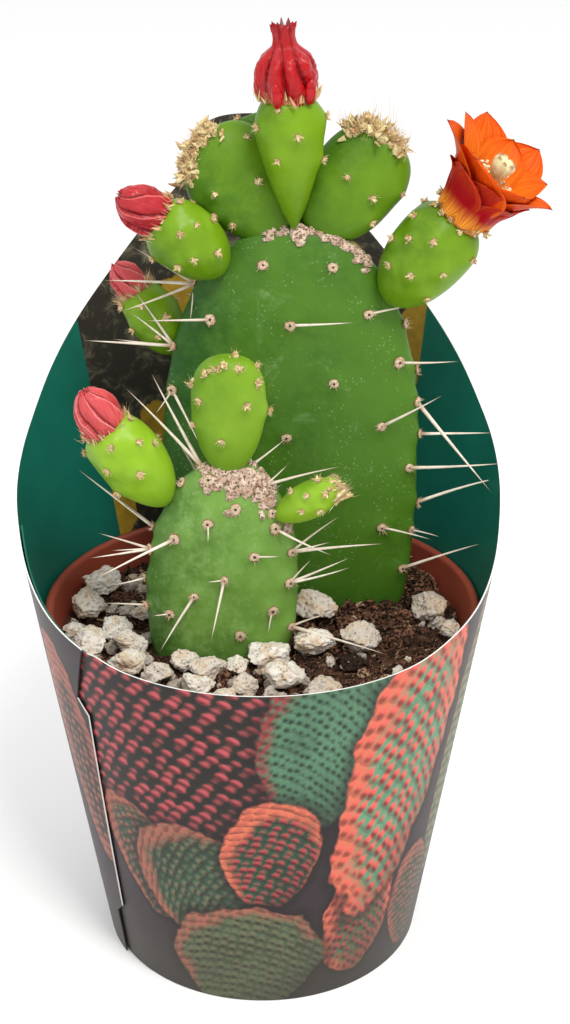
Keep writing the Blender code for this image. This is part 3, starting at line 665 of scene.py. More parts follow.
def read_curve(points, x):
    """Height at x of the smooth curve through the points, with flat tangents at its two ends."""
    last = len(points) - 1
    for i in range(last):
        if x <= points[i + 1][0] or i == last - 1:
            break
    (x0, y0), (x1, y1) = points[i], points[i + 1]
    span = x1 - x0
    before = points[max(i - 1, 0)]
    after = points[min(i + 2, last)]
    slope0 = (y1 - before[1]) / (x1 - before[0]) if i else 0.0
    slope1 = (after[1] - y0) / (after[0] - x0)
    s = min(max((x - x0) / span, 0.0), 1.0)
    return (
        (2 * s**3 - 3 * s**2 + 1) * y0
        + (s**3 - 2 * s**2 + s) * span * slope0
        + (3 * s**2 - 2 * s**3) * y1
        + (s**3 - s**2) * span * slope1
    )


def smoothstep(low, high, x):
    s = min(max((x - low) / (high - low), 0.0), 1.0)
    return s * s * (3 - 2 * s)


def spun(profile, steps):
    """A profile turned right round the Z axis."""
    bm = bmesh.new()
    points = [bm.verts.new((r, 0.0, z)) for r, z in profile]
    edges = [bm.edges.new(pair) for pair in zip(points, points[1:])]
    turn = {"cent": (0, 0, 0), "axis": (0, 0, 1), "angle": math.tau}
    bmesh.ops.spin(bm, geom=points + edges, steps=steps, use_merge=True, **turn)
    bmesh.ops.remove_doubles(bm, verts=bm.verts, dist=0.00001)
    return bm


def spoke(angle, z=0.0):
    """A step of 1 away from the Z axis at an angle, with a rise."""
    return Vector((math.cos(angle), math.sin(angle), z))


def lift(z):
    """A step straight up."""
    return Vector((0.0, 0.0, z))


def facing(direction):
    """The turn that takes +Z to a direction."""
    return direction.to_track_quat("Z", "Y").to_matrix()


def gauss_vector(draw):
    return Vector((draw.gauss(0, 1), draw.gauss(0, 1), draw.gauss(0, 1)))


def random_turn(draw):
    return Matrix.Rotation(draw.uniform(0, math.tau), 3, gauss_vector(draw))


def thorn(soup, base, direction, length, radius, bend=(0, 0, 0), sides=6, rings=6, power=0.8,
          **values):
    """A tapered, slightly bent spike with a flat foot."""
    direction = Vector(direction).normalized()
    bend = Vector(bend)
    across = direction.orthogonal().normalized()
    other = direction.cross(across)
    points = []
    along = []
    for i in range(rings):
        s = i / rings
        middle = Vector(base) + direction * (length * s) + bend * (s * s)
        thick = radius * (1.0 - s) ** power
        for j in range(sides):
            turn = math.tau * j / sides
            points.append(middle + (across * math.cos(turn) + other * math.sin(turn)) * thick)
            along.append(s)
    points.append(Vector(base) + direction * length + bend)
    along.append(1.0)
    faces = grid_faces(rings, sides)
    tip = len(points) - 1
    last = (rings - 1) * sides
    faces += [(last + j, last + (j + 1) % sides, tip) for j in range(sides)]
    faces.append(tuple(reversed(range(sides))))
    soup.add(points, faces, along=along, **values)


BALLS = {}


def unit_ball(subdivisions):
    """Points and faces of an icosphere of radius 1."""
    if subdivisions not in BALLS:
        bm = bmesh.new()
        bmesh.ops.create_icosphere(bm, subdivisions=subdivisions, radius=1.0)
        points = [v.co.copy() for v in bm.verts]
        BALLS[subdivisions] = (points, [tuple(v.index for v in f.verts) for f in bm.faces])
        bm.free()
    return BALLS[subdivisions]


def lump(soup, middle, sizes, turn, rough, seed, subdivisions=2, **values):
    """A rough lump: a ball drawn out to three sizes, turned and dented by noise."""
    points, faces = unit_ball(subdivisions)
    shift = Vector((seed * 7.31, seed * 3.17, seed * 5.71))
    placed = []
    for p in points:
        dent = 1.0 + rough * (noise.noise(p * 1.7 + shift) + 0.5 * noise.noise(p * 4.1 + shift))
        q = Vector((p.x * sizes[0], p.y * sizes[1], p.z * sizes[2])) * dent
        placed.append(Vector(middle) + turn @ q)
    soup.add(placed, faces, along=[(p.z + 1) / 2 for p in points], **values)


# ---------------------------------------------------------------- sleeve and pot
FRONT_PRINT, CARD_INSIDE, CARD_EDGE, BACK_PRINT = range(4)
# Heights of the card's rows of points up to where its outer end runs free, and rows above that.
CARD_ROWS = (
    0.0, 0.005, 0.010, 0.0140, 0.0157, *(0.0174 + 0.00496 * k for k in range(13)), 0.0787, 0.0804,
)
CARD_ROWS_ABOVE = 14
FLAP_COLUMNS = 8


def sleeve_outer(z):
    foot = POT_BASE_RADIUS + SLEEVE_BASE_CLEARANCE
    rim = POT_RIM_RADIUS + SLEEVE_RIM_CLEARANCE
    return foot + (rim - foot) * z / POT_HEIGHT + CARD


def sleeve_top(turn):
    angle = abs((turn + 180.0) % 360.0 - 180.0)
    rise = read_curve(SLEEVE_EDGE, angle)
    from_back = (180.0 - angle) / HEAD_HALF_ANGLE
    if from_back < 1.0:
        rise = HEAD_SHOULDER + HEAD_RISE * math.sqrt(1.0 - from_back**3)
    return POT_HEIGHT + rise


def tab_end(z, top):
    """How far past the seam the card's outer end reaches at a height."""
    points = TAB_OUTLINE + ((top, TAB_END),)
    for (z0, e0), (z1, e1) in zip(points, points[1:]):
        if z <= z1:
            return e0 + (e1 - e0) * (z - z0) / (z1 - z0)
    return TAB_END


def sleeve_point(turn, z, inset=0.0):
    radius = sleeve_outer(z) + (CARD + GAP) * smoothstep(*LAP_RAMP, turn) - inset
    angle = math.radians(turn - 90.0 + SLEEVE_TURN)
    return Vector((radius * math.cos(angle), radius * math.sin(angle), z))


def sleeve_turns():
    """Turns of the card's columns of points, closest together under its rounded head."""
    turns = []
    turn = LAP_START
    while turn < SEAM - FLAP:
        turns.append(turn)
        turn += 0.5 if abs(turn - 180) < HEAD_HALF_ANGLE + 2 else 1.5
    return turns


def column_heights(top):
    """Heights of a column's points, from the foot to the card's top edge."""
    start = CARD_ROWS[-1]
    steps = range(1, CARD_ROWS_ABOVE + 1)
    return CARD_ROWS + tuple(start + (top - start) * k / CARD_ROWS_ABOVE for k in steps)


def flap_column(share):
    """Turn and height of the points in one column of the card's outer end, with its shaped edge."""
    top = sleeve_top(SEAM - FLAP + (FLAP + TAB_END) * share)
    corner = sleeve_top(SEAM + TAB_END)
    start = SEAM - FLAP
    return [(start + (FLAP + tab_end(z, corner)) * share, z) for z in column_heights(top)]


def sleeve_sheet():
    """Turn and height of every point of the card, column by column."""
    sheet = []
    for turn in sleeve_turns():
        top = sleeve_top(turn) - LAP_TUCK * smoothstep(*TUCK_RAMP, turn)
        sheet.append([(turn, z) for z in column_heights(top)])
    sheet += [flap_column(k / (FLAP_COLUMNS - 1)) for k in range(FLAP_COLUMNS)]
    return sheet


def place_on_sheet(bm, uv, sheet, *layers):
    """Writes where each corner lies on the flat card: along it and up it, in cm."""
    spot = {}
    for line, *columns in zip(sheet, *layers):
        for (turn, z), *verts in zip(line, *columns):
            for vert in verts:
                spot[vert] = (turn / 360.0 * SHEET_LENGTH_CM, z * 100.0)
    for face in bm.faces:
        for loop in face.loops:
            loop[uv].uv = spot[loop.vert]


def build_sleeve(slot_mats):
    """The card with its print outside, teal inside and white cut edges, as one closed sheet."""
    sheet = sleeve_sheet()
    columns, rows = len(sheet), len(sheet[0])
    bm = bmesh.new()
    uv = bm.loops.layers.uv.new("sheet")
    outer = [[bm.verts.new(sleeve_point(turn, z)) for turn, z in line] for line in sheet]
    inner = [[bm.verts.new(sleeve_point(turn, z, SHEET)) for turn, z in line] for line in sheet]
    for i in range(columns - 1):
        outside = FRONT_PRINT if sheet[i][0][0] < PRINT_JOIN else BACK_PRINT
        for k in range(rows - 1):
            quad = ((i, k), (i + 1, k), (i + 1, k + 1), (i, k + 1))
            bm.faces.new([outer[a][b] for a, b in quad]).material_index = outside
            bm.faces.new([inner[a][b] for a, b in reversed(quad)]).material_index = CARD_INSIDE
    rim = grid_rim(columns, rows)
    for (a, b), (c, d) in zip(rim, rim[1:] + rim[:1]):
        cut = (outer[c][d], outer[a][b], inner[a][b], inner[c][d])
        bm.faces.new(cut).material_index = CARD_EDGE
    place_on_sheet(bm, uv, sheet, outer, inner)
    piece = add_object("printed_sleeve", bm, *slot_mats, smooth=50)
    finish_piece(piece, "printed_card", "card_sleeve")


def pot_outer(z):
    return POT_BASE_RADIUS + (POT_RIM_RADIUS - RIM_STEP - POT_BASE_RADIUS) * z / POT_HEIGHT


def pot_inner(z):
    return pot_outer(z) - POT_WALL


def arc(cx, cz, radius, start, end, steps):
    points = []
    for k in range(steps + 1):
        angle = math.radians(start + (end - start) * k / steps)
        points.append((cx + radius * math.cos(angle), cz + radius * math.sin(angle)))
    return points


def build_pot(mat):
    """The nursery pot: its lip is rounded over, and a small step sets off the band under it."""
    band_foot = POT_HEIGHT - RIM_BAND
    lip = (POT_RIM_RADIUS - pot_inner(POT_HEIGHT)) / 2
    middle = (POT_RIM_RADIUS + pot_inner(POT_HEIGHT)) / 2
    below_lip = POT_HEIGHT * 0.955
    chamfer = 0.0003
    foot_round = 0.0006
    profile = [(0.0, POT_FLOOR), (pot_inner(POT_FLOOR), POT_FLOOR)]
    for share in (0.3, 0.6, 0.85, 0.93):
        z = POT_HEIGHT * share
        profile.append((pot_inner(z), z))
    profile.append((pot_inner(below_lip) + chamfer, below_lip))
    profile += arc(middle, POT_HEIGHT - lip, lip, 180, 0, 8)
    profile.append((pot_outer(band_foot) + RIM_STEP, band_foot + chamfer))
    profile.append((pot_outer(band_foot) + RIM_STEP - chamfer, band_foot))
    profile.append((pot_outer(band_foot), band_foot))
    profile += arc(POT_BASE_RADIUS - foot_round, foot_round, foot_round, 0, -90, 4)
    profile.append((0.0, 0.0))
    pot = add_object("pot_shell", spun(profile, 128), mat, smooth=40)
    finish_piece(pot, "pot_plastic", "nursery_pot")


# ---------------------------------------------------------------- shoots
class Shoot:
    """A paddle, fruit or bud, as in the CAD. Its local +Z runs from root to tip, X across it."""

    def __init__(self, name, root, length, width, depth, tilt=0.0, lean=0.0, turn=0.0, belly=0.5,
                 blunt_root=2.0, blunt_tip=2.0, section=2.0, cut=1.0):
        self.name = name
        self.length, self.width, self.depth = length, width, depth
        self.belly, self.blunt_root, self.blunt_tip = belly, blunt_root, blunt_tip
        self.section, self.cut = section, cut
        turns = [Matrix.Rotation(math.radians(a), 4, axis)
                 for a, axis in ((tilt, "Y"), (lean, "X"), (turn, "Z"))]
        self.matrix = Matrix.Translation(root) @ turns[0] @ turns[1] @ turns[2]

    def outline(self, t):
        if t < self.belly:
            power, x = self.blunt_root, (self.belly - t) / self.belly
        else:
            power, x = self.blunt_tip, (t - self.belly) / (1.0 - self.belly)
        return max(1.0 - min(x, 1.0) ** power, 0.0) ** (1.0 / power)

    def point(self, t, angle):
        """Local point of the surface at t along the shoot, and an angle round it."""
        flat = min(t, self.cut)
        cap = 1.0 if t <= self.cut else math.sqrt((1.0 - t) / (1.0 - self.cut))
        out = self.outline(flat)
        c, s = math.cos(angle), math.sin(angle)
        wide = self.width / 2 * out * cap
        thick = self.depth / 2 * out**0.7 * cap
        power = 2.0 / self.section
        across = wide * math.copysign(abs(c) ** power, c)
        through = thick * math.copysign(abs(s) ** power, s)
        return Vector((across, through, flat * self.length))

    def face_point(self, x, z, side):
        """Local point of the front (side -1) or back (side 1) at x across and z along."""
        t = min(max(z / self.length, 0.0), self.cut)
        out = self.outline(t)
        wide = max(self.width / 2 * out, 1e-6)
        thick = self.depth / 2 * out**0.7
        u = min(abs(x) / wide, 1.0)
        through = side * thick * (1.0 - u**self.section) ** (1 / self.section)
        return Vector((math.copysign(u * wide, x), through, t * self.length))

    def rim(self, t, side, inset=0.0, forward=0.0):
        edge = Vector((side * self.width / 2 * self.outline(t), 0.0, t * self.length))
        inward = Vector((0.0, 0.0, self.belly * self.length)) - edge
        return self.matrix @ (edge + inward.normalized() * inset + Vector((0, -forward, 0)))

    def end(self, raise_by=0.0):
        return self.matrix @ Vector((0.0, 0.0, self.cut * self.length + raise_by))


def soil_level():
    return POT_HEIGHT - SOIL_BELOW_RIM


def cactus_shoots():
    """Every shoot by name, each placed from the one that it grows from, as in the CAD."""
    floor = soil_level() - ROOT_DEPTH
    main = Shoot("main_pad", (*MAIN_AT, floor), 0.1116, 0.0616, 0.0130, tilt=0.8,
                 belly=0.475, blunt_root=4.0, blunt_tip=2.3, section=2.2)
    front = Shoot("front_pad", (*FRONT_AT, floor), 0.0640, 0.0350, 0.0120, tilt=3.5,
                  belly=0.48, blunt_root=2.15, blunt_tip=2.3, section=2.2)
    shoots = [main, front]

    def grow(name, *args, **options):
        shoots.append(Shoot(name, *args, **options))
        return shoots[-1]

    grow("upper_left_pad", main.rim(1.0, -1, 0.0020, -0.0015), 0.0300, 0.0232, 0.0105,
         tilt=-46, lean=-6, turn=12, belly=0.58, blunt_root=1.9, blunt_tip=2.5, section=2.2)
    grow("upper_right_pad", main.rim(0.998, 1, 0.0020, -0.0015), 0.0287, 0.0214, 0.0100,
         tilt=41, lean=-5, turn=-8, belly=0.56, blunt_root=2.2, blunt_tip=2.5, section=2.2)
    grow("hidden_pad", main.rim(1.0, -1, 0.0020, -0.0060), 0.0275, 0.0150, 0.0070,
         tilt=-22, lean=-10, turn=10, belly=0.62, blunt_root=1.9, blunt_tip=2.6, section=2.2)
    crown = grow("crown_fruit", main.rim(1.0, 1, 0.0005, 0.0025), 0.0325, 0.0154, 0.0125,
                 tilt=-2.5, lean=6, belly=0.71, blunt_root=1.25, blunt_tip=2.4, cut=0.93)
    grow("right_fruit", main.rim(0.865, 1, 0.0020, 0.0030), 0.0270, 0.0188, 0.0160,
         tilt=38, lean=6, belly=0.62, blunt_root=2.0, blunt_tip=2.4, cut=0.93)
    upper = grow("left_upper_fruit", main.rim(0.938, -1, 0.0030, 0.0042), 0.0210, 0.0156,
                 0.0140, tilt=-47, lean=8, belly=0.56, blunt_root=2.0, blunt_tip=2.4, cut=0.93)
    middle = grow("left_middle_fruit", main.rim(0.722, -1, 0.0020, -0.0045), 0.0185, 0.0124,
                  0.0112, tilt=-35, lean=-8, belly=0.55, blunt_root=2.0, blunt_tip=2.4, cut=0.93)
    lower = grow("left_lower_fruit", front.rim(0.850, -1, 0.0002, 0.0010), 0.0245, 0.0154,
                 0.0142, tilt=-36, lean=5, belly=0.58, blunt_root=1.8, blunt_tip=2.4, cut=0.93)
    grow("centre_pad", front.rim(1.0, 1, 0.0025), 0.0285, 0.0168, 0.0100, tilt=0.5, lean=3,
         belly=0.62, blunt_root=1.9, blunt_tip=2.6, section=2.2)
    grow("side_fruit", front.rim(0.870, 1, 0.0030, 0.0035), 0.0174, 0.0088, 0.0080, tilt=56,
         lean=12, belly=0.55, blunt_root=1.8, blunt_tip=1.8, cut=0.95)
    grow("crown_bud", crown.end(-0.0005), 0.0187, 0.0134, 0.0130, tilt=-4, lean=5)
    grow("left_upper_bud", upper.end(-0.001), 0.0118, 0.0120, 0.0115, tilt=-58, lean=10)
    grow("left_middle_bud", middle.end(-0.001), 0.0098, 0.0092, 0.0088, tilt=-38, lean=-8)
    grow("left_lower_bud", lower.end(-0.001), 0.0118, 0.0116, 0.0112, tilt=-24, lean=8)
    return {shoot.name: shoot for shoot in shoots}


# Areoles on each shoot's face, in mm across it and along it from its root.
AREOLES = {
    "main_pad": (
        (-7, 103.3), (9, 102.8), (-19, 90), (-0.5, 89.5), (17.5, 92), (25, 80), (10, 75.5), (29.5, 69.5),
        (-27.5, 82.5), (-28, 72), (-1, 62), (21.5, 64.5), (30.5, 61), (28.5, 53), (30.7, 43), (13, 48.5),
        (22.5, 38), (28, 26), (-30.5, 51.5), (-23, 97), (26, 88.5), (29, 77), (29.8, 36),
    ),
    "front_pad": (
        (-10, 59), (-4.2, 61), (2, 55), (-4, 51.4), (-11.2, 46.7), (-16.5, 42.3), (10, 54), (11, 50.5),
        (8.2, 60), (15, 44.3), (6.8, 43.8), (15, 36.6), (0.2, 37.8), (-6.3, 33), (-11.7, 27.7),
        (-17.4, 34.4), (-17, 28), (11.6, 30), (4.6, 23.8), (16, 25), (-16, 47), (-5.8, 62.7), (-11.5, 57.7),
    ),
    "hidden_pad": ((-3, 27), (3, 24)),
    "centre_pad": ((-6, 19.6), (4, 19), (8.3, 16), (-7.2, 13.3), (-1.3, 10.4)),
    "upper_left_pad": ((7.4, 22.6), (2.1, 14.2), (-6.4, 19), (-8.4, 11.5), (-9.8, 15.8), (-10.8, 21)),
    "crown_fruit": ((-2.1, 29.3), (1.8, 23.7), (-2.7, 18.3), (6.3, 17), (7.5, 26), (-6.6, 25)),
    "upper_right_pad": ((-2, 15.5), (5.2, 15.6), (9.6, 20.5), (8.8, 11.5)),
    "right_fruit": (
        (-6.6, 16.6), (-2.6, 19.8), (-8.6, 13.5), (-5.9, 8.8), (-1.4, 10.6), (3.6, 15.4), (7, 21.2),
        (5, 8.3), (-8.3, 20.5),
    ),
    "left_upper_fruit": (
        (1.6, 15.2), (5, 13.5), (-7.4, 14.6), (-4.4, 10.4), (-0.7, 9.1), (3.2, 6), (5.5, 18.6), (7.2, 11),
    ),
    "left_middle_fruit": ((-3.9, 16.3), (0.1, 14.1), (-4.8, 10.7), (3, 9), (-0.6, 6.3)),
    "left_lower_fruit": (
        (0.4, 20.8), (5.2, 17.7), (-3.7, 16.9), (1.5, 12.3), (-6.6, 20.6), (-5.8, 10.6), (6.9, 14.8),
        (5.8, 21.6),
    ),
    "side_fruit": ((-3.9, 7.5), (-2.3, 11), (-0.2, 8.1), (-3.3, 14), (-0.8, 14.6), (1.8, 11.5)),
}
# Spines: the number of the areole in its list, then the way from foot to tip in mm.
SPINES = {
    "main_pad": (
        (2, -15, -4, 1), (3, 15, -4, 2), (4, 11, -2, 3), (5, 14, -2, 1), (7, 18, -9, -20),
        (8, -9, 2, 13), (8, -10, 1, 8), (8, -21, -2, 2), (8, -14, -1, 2), (9, -4, -3, -5),
        (9, 7, -7, -12), (11, 14, -3, 9), (12, 18, -2, 1), (13, 23, -2, 2), (14, 22, 0, 7),
        (15, -4, -4, -5), (16, 12, -5, -1), (17, 20, 0, 7), (18, 7, -1, 4), (19, -21, -4, 2),
        (19, -17, -6, -5), (19, -1, -4, -8), (19, -14, -1, 9), (22, 7, -2, -1),
    ),
    "front_pad": (
        (3, 0, -2, -4), (4, -18, -9, -6), (5, -12, 0, 4), (5, -9, -1, 0), (5, -14, -3, -1),
        (6, 8, -3, 5), (7, 13, -6, -4), (8, 17, -1, 5), (8, 5, 0, 5), (9, 21, -2, 3), (9, 9, -1, 3),
        (9, 11, 0, 9), (10, 6, -2, 1), (11, 14, -1, 7), (11, 14, -2, 5), (11, 5, 0, 6),
        (12, -3, -8, -12), (12, -4, -1, 0), (13, -8, -7, -11), (14, -4, -1, 0), (15, -8, -2, -1),
        (16, -10, -1, 1), (17, -1, -2, -5), (19, 9, -1, 4), (19, 23, -5, -5), (20, -17, 1, 14),
        (20, -9, 0, 8), (21, -17, 3, 18), (21, -11, 4, 21),
    ),
}
YOUNG = {"centre_pad", "hidden_pad", "upper_left_pad", "upper_right_pad"}
STEM_PADS = {"main_pad", "front_pad"}
# How each kind of shoot is built: points around and along it, its slot, and its areoles' size.
SHOOT_KINDS = {
    "mature": ((140, 110), "mature_skin", 0.00120),
    "young": ((96, 72), "young_skin", 0.00100),
    "fruit": ((80, 56), "fruit_skin", 0.00100),
}


def areole_spots(shoot, draw):
    """Local points of a shoot's areoles: those of its front and, turned about, those of its back."""
    spots = [(x * MM, z * MM, -1) for x, z in AREOLES[shoot.name]]
    for x, z, _ in list(spots):
        if abs(x) < 0.86 * shoot.width / 2 * shoot.outline(z / shoot.length):
            spots.append((-x + draw.uniform(-1.5, 1.5) * MM, z + draw.uniform(-2, 2) * MM, 1))
    return [shoot.face_point(*spot) for spot in spots]


def skin_points(shoot, around, along):
    """Rings of points from near the root to near the tip, then the root and the tip."""
    points = []
    for i in range(1, along):
        t = (1.0 - math.cos(math.pi * i / along)) / 2
        points += [shoot.point(t, math.tau * j / around) for j in range(around)]
    return points + [lift(0.0), lift(shoot.cut * shoot.length)]


def skin_mesh(shoot, mat, spots, around, along):
    """The shoot's skin, swelling a little at each areole and waving gently between them."""
    points = skin_points(shoot, around, along)
    foot = len(points) - 2
    faces = grid_faces(along - 1, around) + cap_faces(along - 1, around, foot, foot + 1)
    mesh = new_mesh(shoot.name, points, faces)
    normals = np.zeros(len(points) * 3, np.float32)
    mesh.vertices.foreach_get("normal", normals)
    normals = normals.reshape(-1, 3)
    places = np.array([tuple(p) for p in points])
    centres = np.array([tuple(p) for p in spots])
    away = np.linalg.norm(places[:, None] - centres[None], axis=2).min(1)
    thick = min(shoot.depth, 0.012)
    swell = 0.060 * thick * np.exp(-(away / (0.20 * thick)) ** 2)
    shift = Vector((len(shoot.name), 0, 0))
    wave = np.array([noise.noise(Vector(p) * 95.0 + shift) for p in places])
    places += normals * (swell + 0.022 * thick * wave)[:, None]
    world = [shoot.matrix @ Vector(p) for p in places]
    mesh.vertices.foreach_set("co", np.array([tuple(p) for p in world]).ravel())
    # 0 at the shoot's left edge and 1 at its right, for the skin's painted light and shade.
    flush = np.clip(0.5 + places[:, 0] / shoot.width, 0, 1)
    # 1 at the root, fading out over the lower 35 % of the shoot, where painted shade goes.
    low = np.clip(1.0 - places[:, 2] / (0.35 * shoot.length), 0, 1)
    keep_values(mesh, {"areole": np.exp(-(away / 0.0016) ** 2), "flush": flush, "low": low})
    mesh.update()
    return link_mesh(shoot.name + "_skin", mesh, [mat], smooth=0), BVHTree.FromPolygons(world, faces)


class Trim:
    """The small growths on the shoots, gathered by kind."""

    def __init__(self):
        self.felt = Soup("along", "shade")
        self.spines = Soup("along", "shade")
        self.bristles = Soup("along", "shade")
        self.cork = Soup("along")
        self.scales = Soup("along", "shade")


def add_areole(trim, place, normal, size, young, draw):
    """A felted cushion with a tuft of short bristles, or on a young shoot a small open scale."""
    turn = facing(normal)
    pad = size * (0.72 if young else 1.0)
    sizes = (pad, pad * draw.uniform(0.8, 1.1), pad * 0.36)
    lump(trim.felt, place + normal * pad * 0.10, sizes, turn, 0.30, draw.uniform(0, 50))
    if not young:
        heart = (size * 0.30, size * 0.30, size * 0.16)
        lump(trim.felt, place + normal * size * 0.36, heart, turn, 0.2, 1.0, shade=1.0)
    for _ in range(26 if young else 20):
        spin = draw.uniform(0, math.tau)
        slope = draw.uniform(0.1, 1.1)
        way = turn @ Vector((math.cos(spin) * slope, math.sin(spin) * slope, 1.0))
        foot = place + turn @ spoke(spin) * size * draw.uniform(0.1, 0.8)
        length = size * draw.uniform(0.7, 1.5)
        thorn(trim.bristles, foot, way, length, size * 0.060, sides=3, rings=2, shade=draw.random())
    for _ in range(6 if young else 0):
        spin = draw.uniform(0, math.tau)
        way = turn @ spoke(spin, draw.uniform(0.5, 1.4))
        thorn(trim.scales, place, way, size * draw.uniform(0.9, 1.5), size * 0.36, sides=6, rings=4,
              power=0.6, shade=draw.random() ** 3)


def add_spine(trim, place, reach, draw):
    way = Vector(reach) * MM
    bow = Vector((draw.uniform(-1, 1), draw.uniform(-1, 1), draw.uniform(-1.0, 0.6)))
    bend = bow * way.length * 0.08
    radius = 0.00020 + 0.0000125 * way.length / MM
    thorn(trim.spines, place, way - bend, (way - bend).length, radius, bend, sides=8, rings=9,
          power=0.75, shade=draw.random())


def add_tuft(trim, place, normal, size, draw, scales=7, bristles=24, reach=1.0, spread=1.0):
    """A crown of withered scales and bristles round one direction, over a woolly heart."""
    for _ in range(scales // 4):
        foot = place + gauss_vector(draw) * size * 0.25
        wide, deep = size * draw.uniform(0.25, 0.5), size * draw.uniform(0.25, 0.5)
        sizes = (wide, deep, size * draw.uniform(0.4, 0.6))
        lump(trim.scales, foot, sizes, random_turn(draw), 0.9, draw.uniform(0, 90), 2, shade=0.25)
    for _ in range(scales):
        way = normal + spread * 0.6 * gauss_vector(draw)
        foot = place + gauss_vector(draw) * size * 0.35
        length = size * draw.uniform(0.7, 1.4) * reach
        thorn(trim.scales, foot, way, length, size * draw.uniform(0.16, 0.34), sides=6, rings=4,
              power=0.6, shade=draw.random() ** 2)
    for _ in range(bristles):
        way = normal + spread * 0.55 * gauss_vector(draw)
        foot = place + gauss_vector(draw) * size * 0.35
        length = size * draw.uniform(0.9, 1.9) * reach
        thorn(trim.bristles, foot, way, length, size * 0.035, sides=3, rings=3, shade=draw.random())


def scab(trim, shoot, skin, start, end, side, count, size, depth, draw):
    """A corky scab along a stretch of a paddle's upper edge, reaching down both its faces."""
    for k in range(count):
        t = draw.uniform(start, end)
        edge = shoot.rim(t, side, abs(draw.gauss(0, depth)), 0.002 if k % 4 else -0.002)
        spread = Vector((draw.gauss(0, 1), 0, draw.gauss(0, 1))) * 0.0004
        place, normal, _, _ = skin.find_nearest(edge + spread)
        wide, deep = size * draw.uniform(0.5, 1.3), size * draw.uniform(0.5, 1.3)
        sizes = (wide, deep, size * draw.uniform(0.4, 0.8))
        turn = facing(normal) @ Matrix.Rotation(draw.uniform(0, 3), 3, "Z")
        turn = Matrix.Rotation(draw.gauss(0, 0.35), 3, "X") @ turn
        lump(trim.cork, place, sizes, turn, 0.55, draw.uniform(0, 90))


def add_back_spines(trim, feet, draw):
    """None to three spines at each areole of a paddle's hidden side, above the soil."""
    for place, normal in feet:
        for _ in range(draw.choice((0, 1, 1, 2, 3))):
            stray = Vector((draw.gauss(0, 1), abs(draw.gauss(0, 0.5)), draw.gauss(0, 1)))
            if place.z > soil_level() + 0.01:
                add_spine(trim, place, (normal + 0.7 * stray).normalized() * draw.uniform(8, 15), draw)


def build_shoots(shoots, mats, trim):
    """Skins, areoles and spines of the paddles and fruits."""
    skins = {}
    for name, front_areoles in AREOLES.items():
        draw = random.Random(name)
        shoot = shoots[name]
        spots = areole_spots(shoot, draw)
        kind = "mature" if name in STEM_PADS else "young" if name in YOUNG else "fruit"
        fine, slot, size = SHOOT_KINDS[kind]
        piece, skin = skin_mesh(shoot, mats.get(name, mats[kind]), spots, *fine)
        finish_piece(piece, slot, *([name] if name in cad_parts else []))
        skins[name] = skin
        feet = [skin.find_nearest(shoot.matrix @ spot)[:2] for spot in spots]
        for place, normal in feet:
            if place.z > soil_level() + 0.002:
                add_areole(trim, place, normal, size * draw.uniform(0.85, 1.2), kind != "mature", draw)
        for number, *reach in SPINES.get(name, ()):
            add_spine(trim, feet[number][0], reach, draw)
        if kind == "mature":
            add_back_spines(trim, feet[len(front_areoles):], draw)
    return skins


# ---------------------------------------------------------------- buds
# The tall bud on the crown: along its skin, the radius and the height there.
TALL_BUD = (
    (0.0, 0.0050, -0.0004), (0.10, 0.0059, 0.0012), (0.30, 0.0070, 0.0048), (0.46, 0.0068, 0.0078),
    (0.60, 0.0057, 0.0100), (0.70, 0.0040, 0.0114), (0.78, 0.0029, 0.0124), (0.88, 0.0025, 0.0140),
    (0.95, 0.0026, 0.0153), (1.0, 0.0029, 0.0161),
)
# A round bud: along its skin, the radius and the height there as shares of the whole.
ROUND_BUD = (
    (0.0, 0.80, 0.0), (0.15, 0.98, 0.12), (0.38, 1.02, 0.40), (0.62, 0.90, 0.70), (0.82, 0.62, 0.90),
    (0.93, 0.34, 0.99), (1.0, 0.16, 0.95),
)
BUD_SINK = 0.0002
# The round buds: kind of red, number of folds, and how far they wind.
ROUND_BUDS = {
    "left_upper_bud": ("rose_bud", 6, 1.5),
    "left_middle_bud": ("pink_bud", 6, 1.2),
    "left_lower_bud": ("pink_bud", 7, 0.9),
}


def fold_at(phase, crease):
    """Share of a bud's radius at a phase of a fold, and how near that is to the groove."""
    if crease > 0:
        arch = math.sin(math.pi * phase)
        return 1.0 - crease * (1.0 - arch**0.55), 1.0 - arch
    groove = smoothstep(0.75, 1.0, phase) - 1.0 + smoothstep(0.0, 0.30, phase)
    return 1.0 + crease * (1.0 - phase), groove


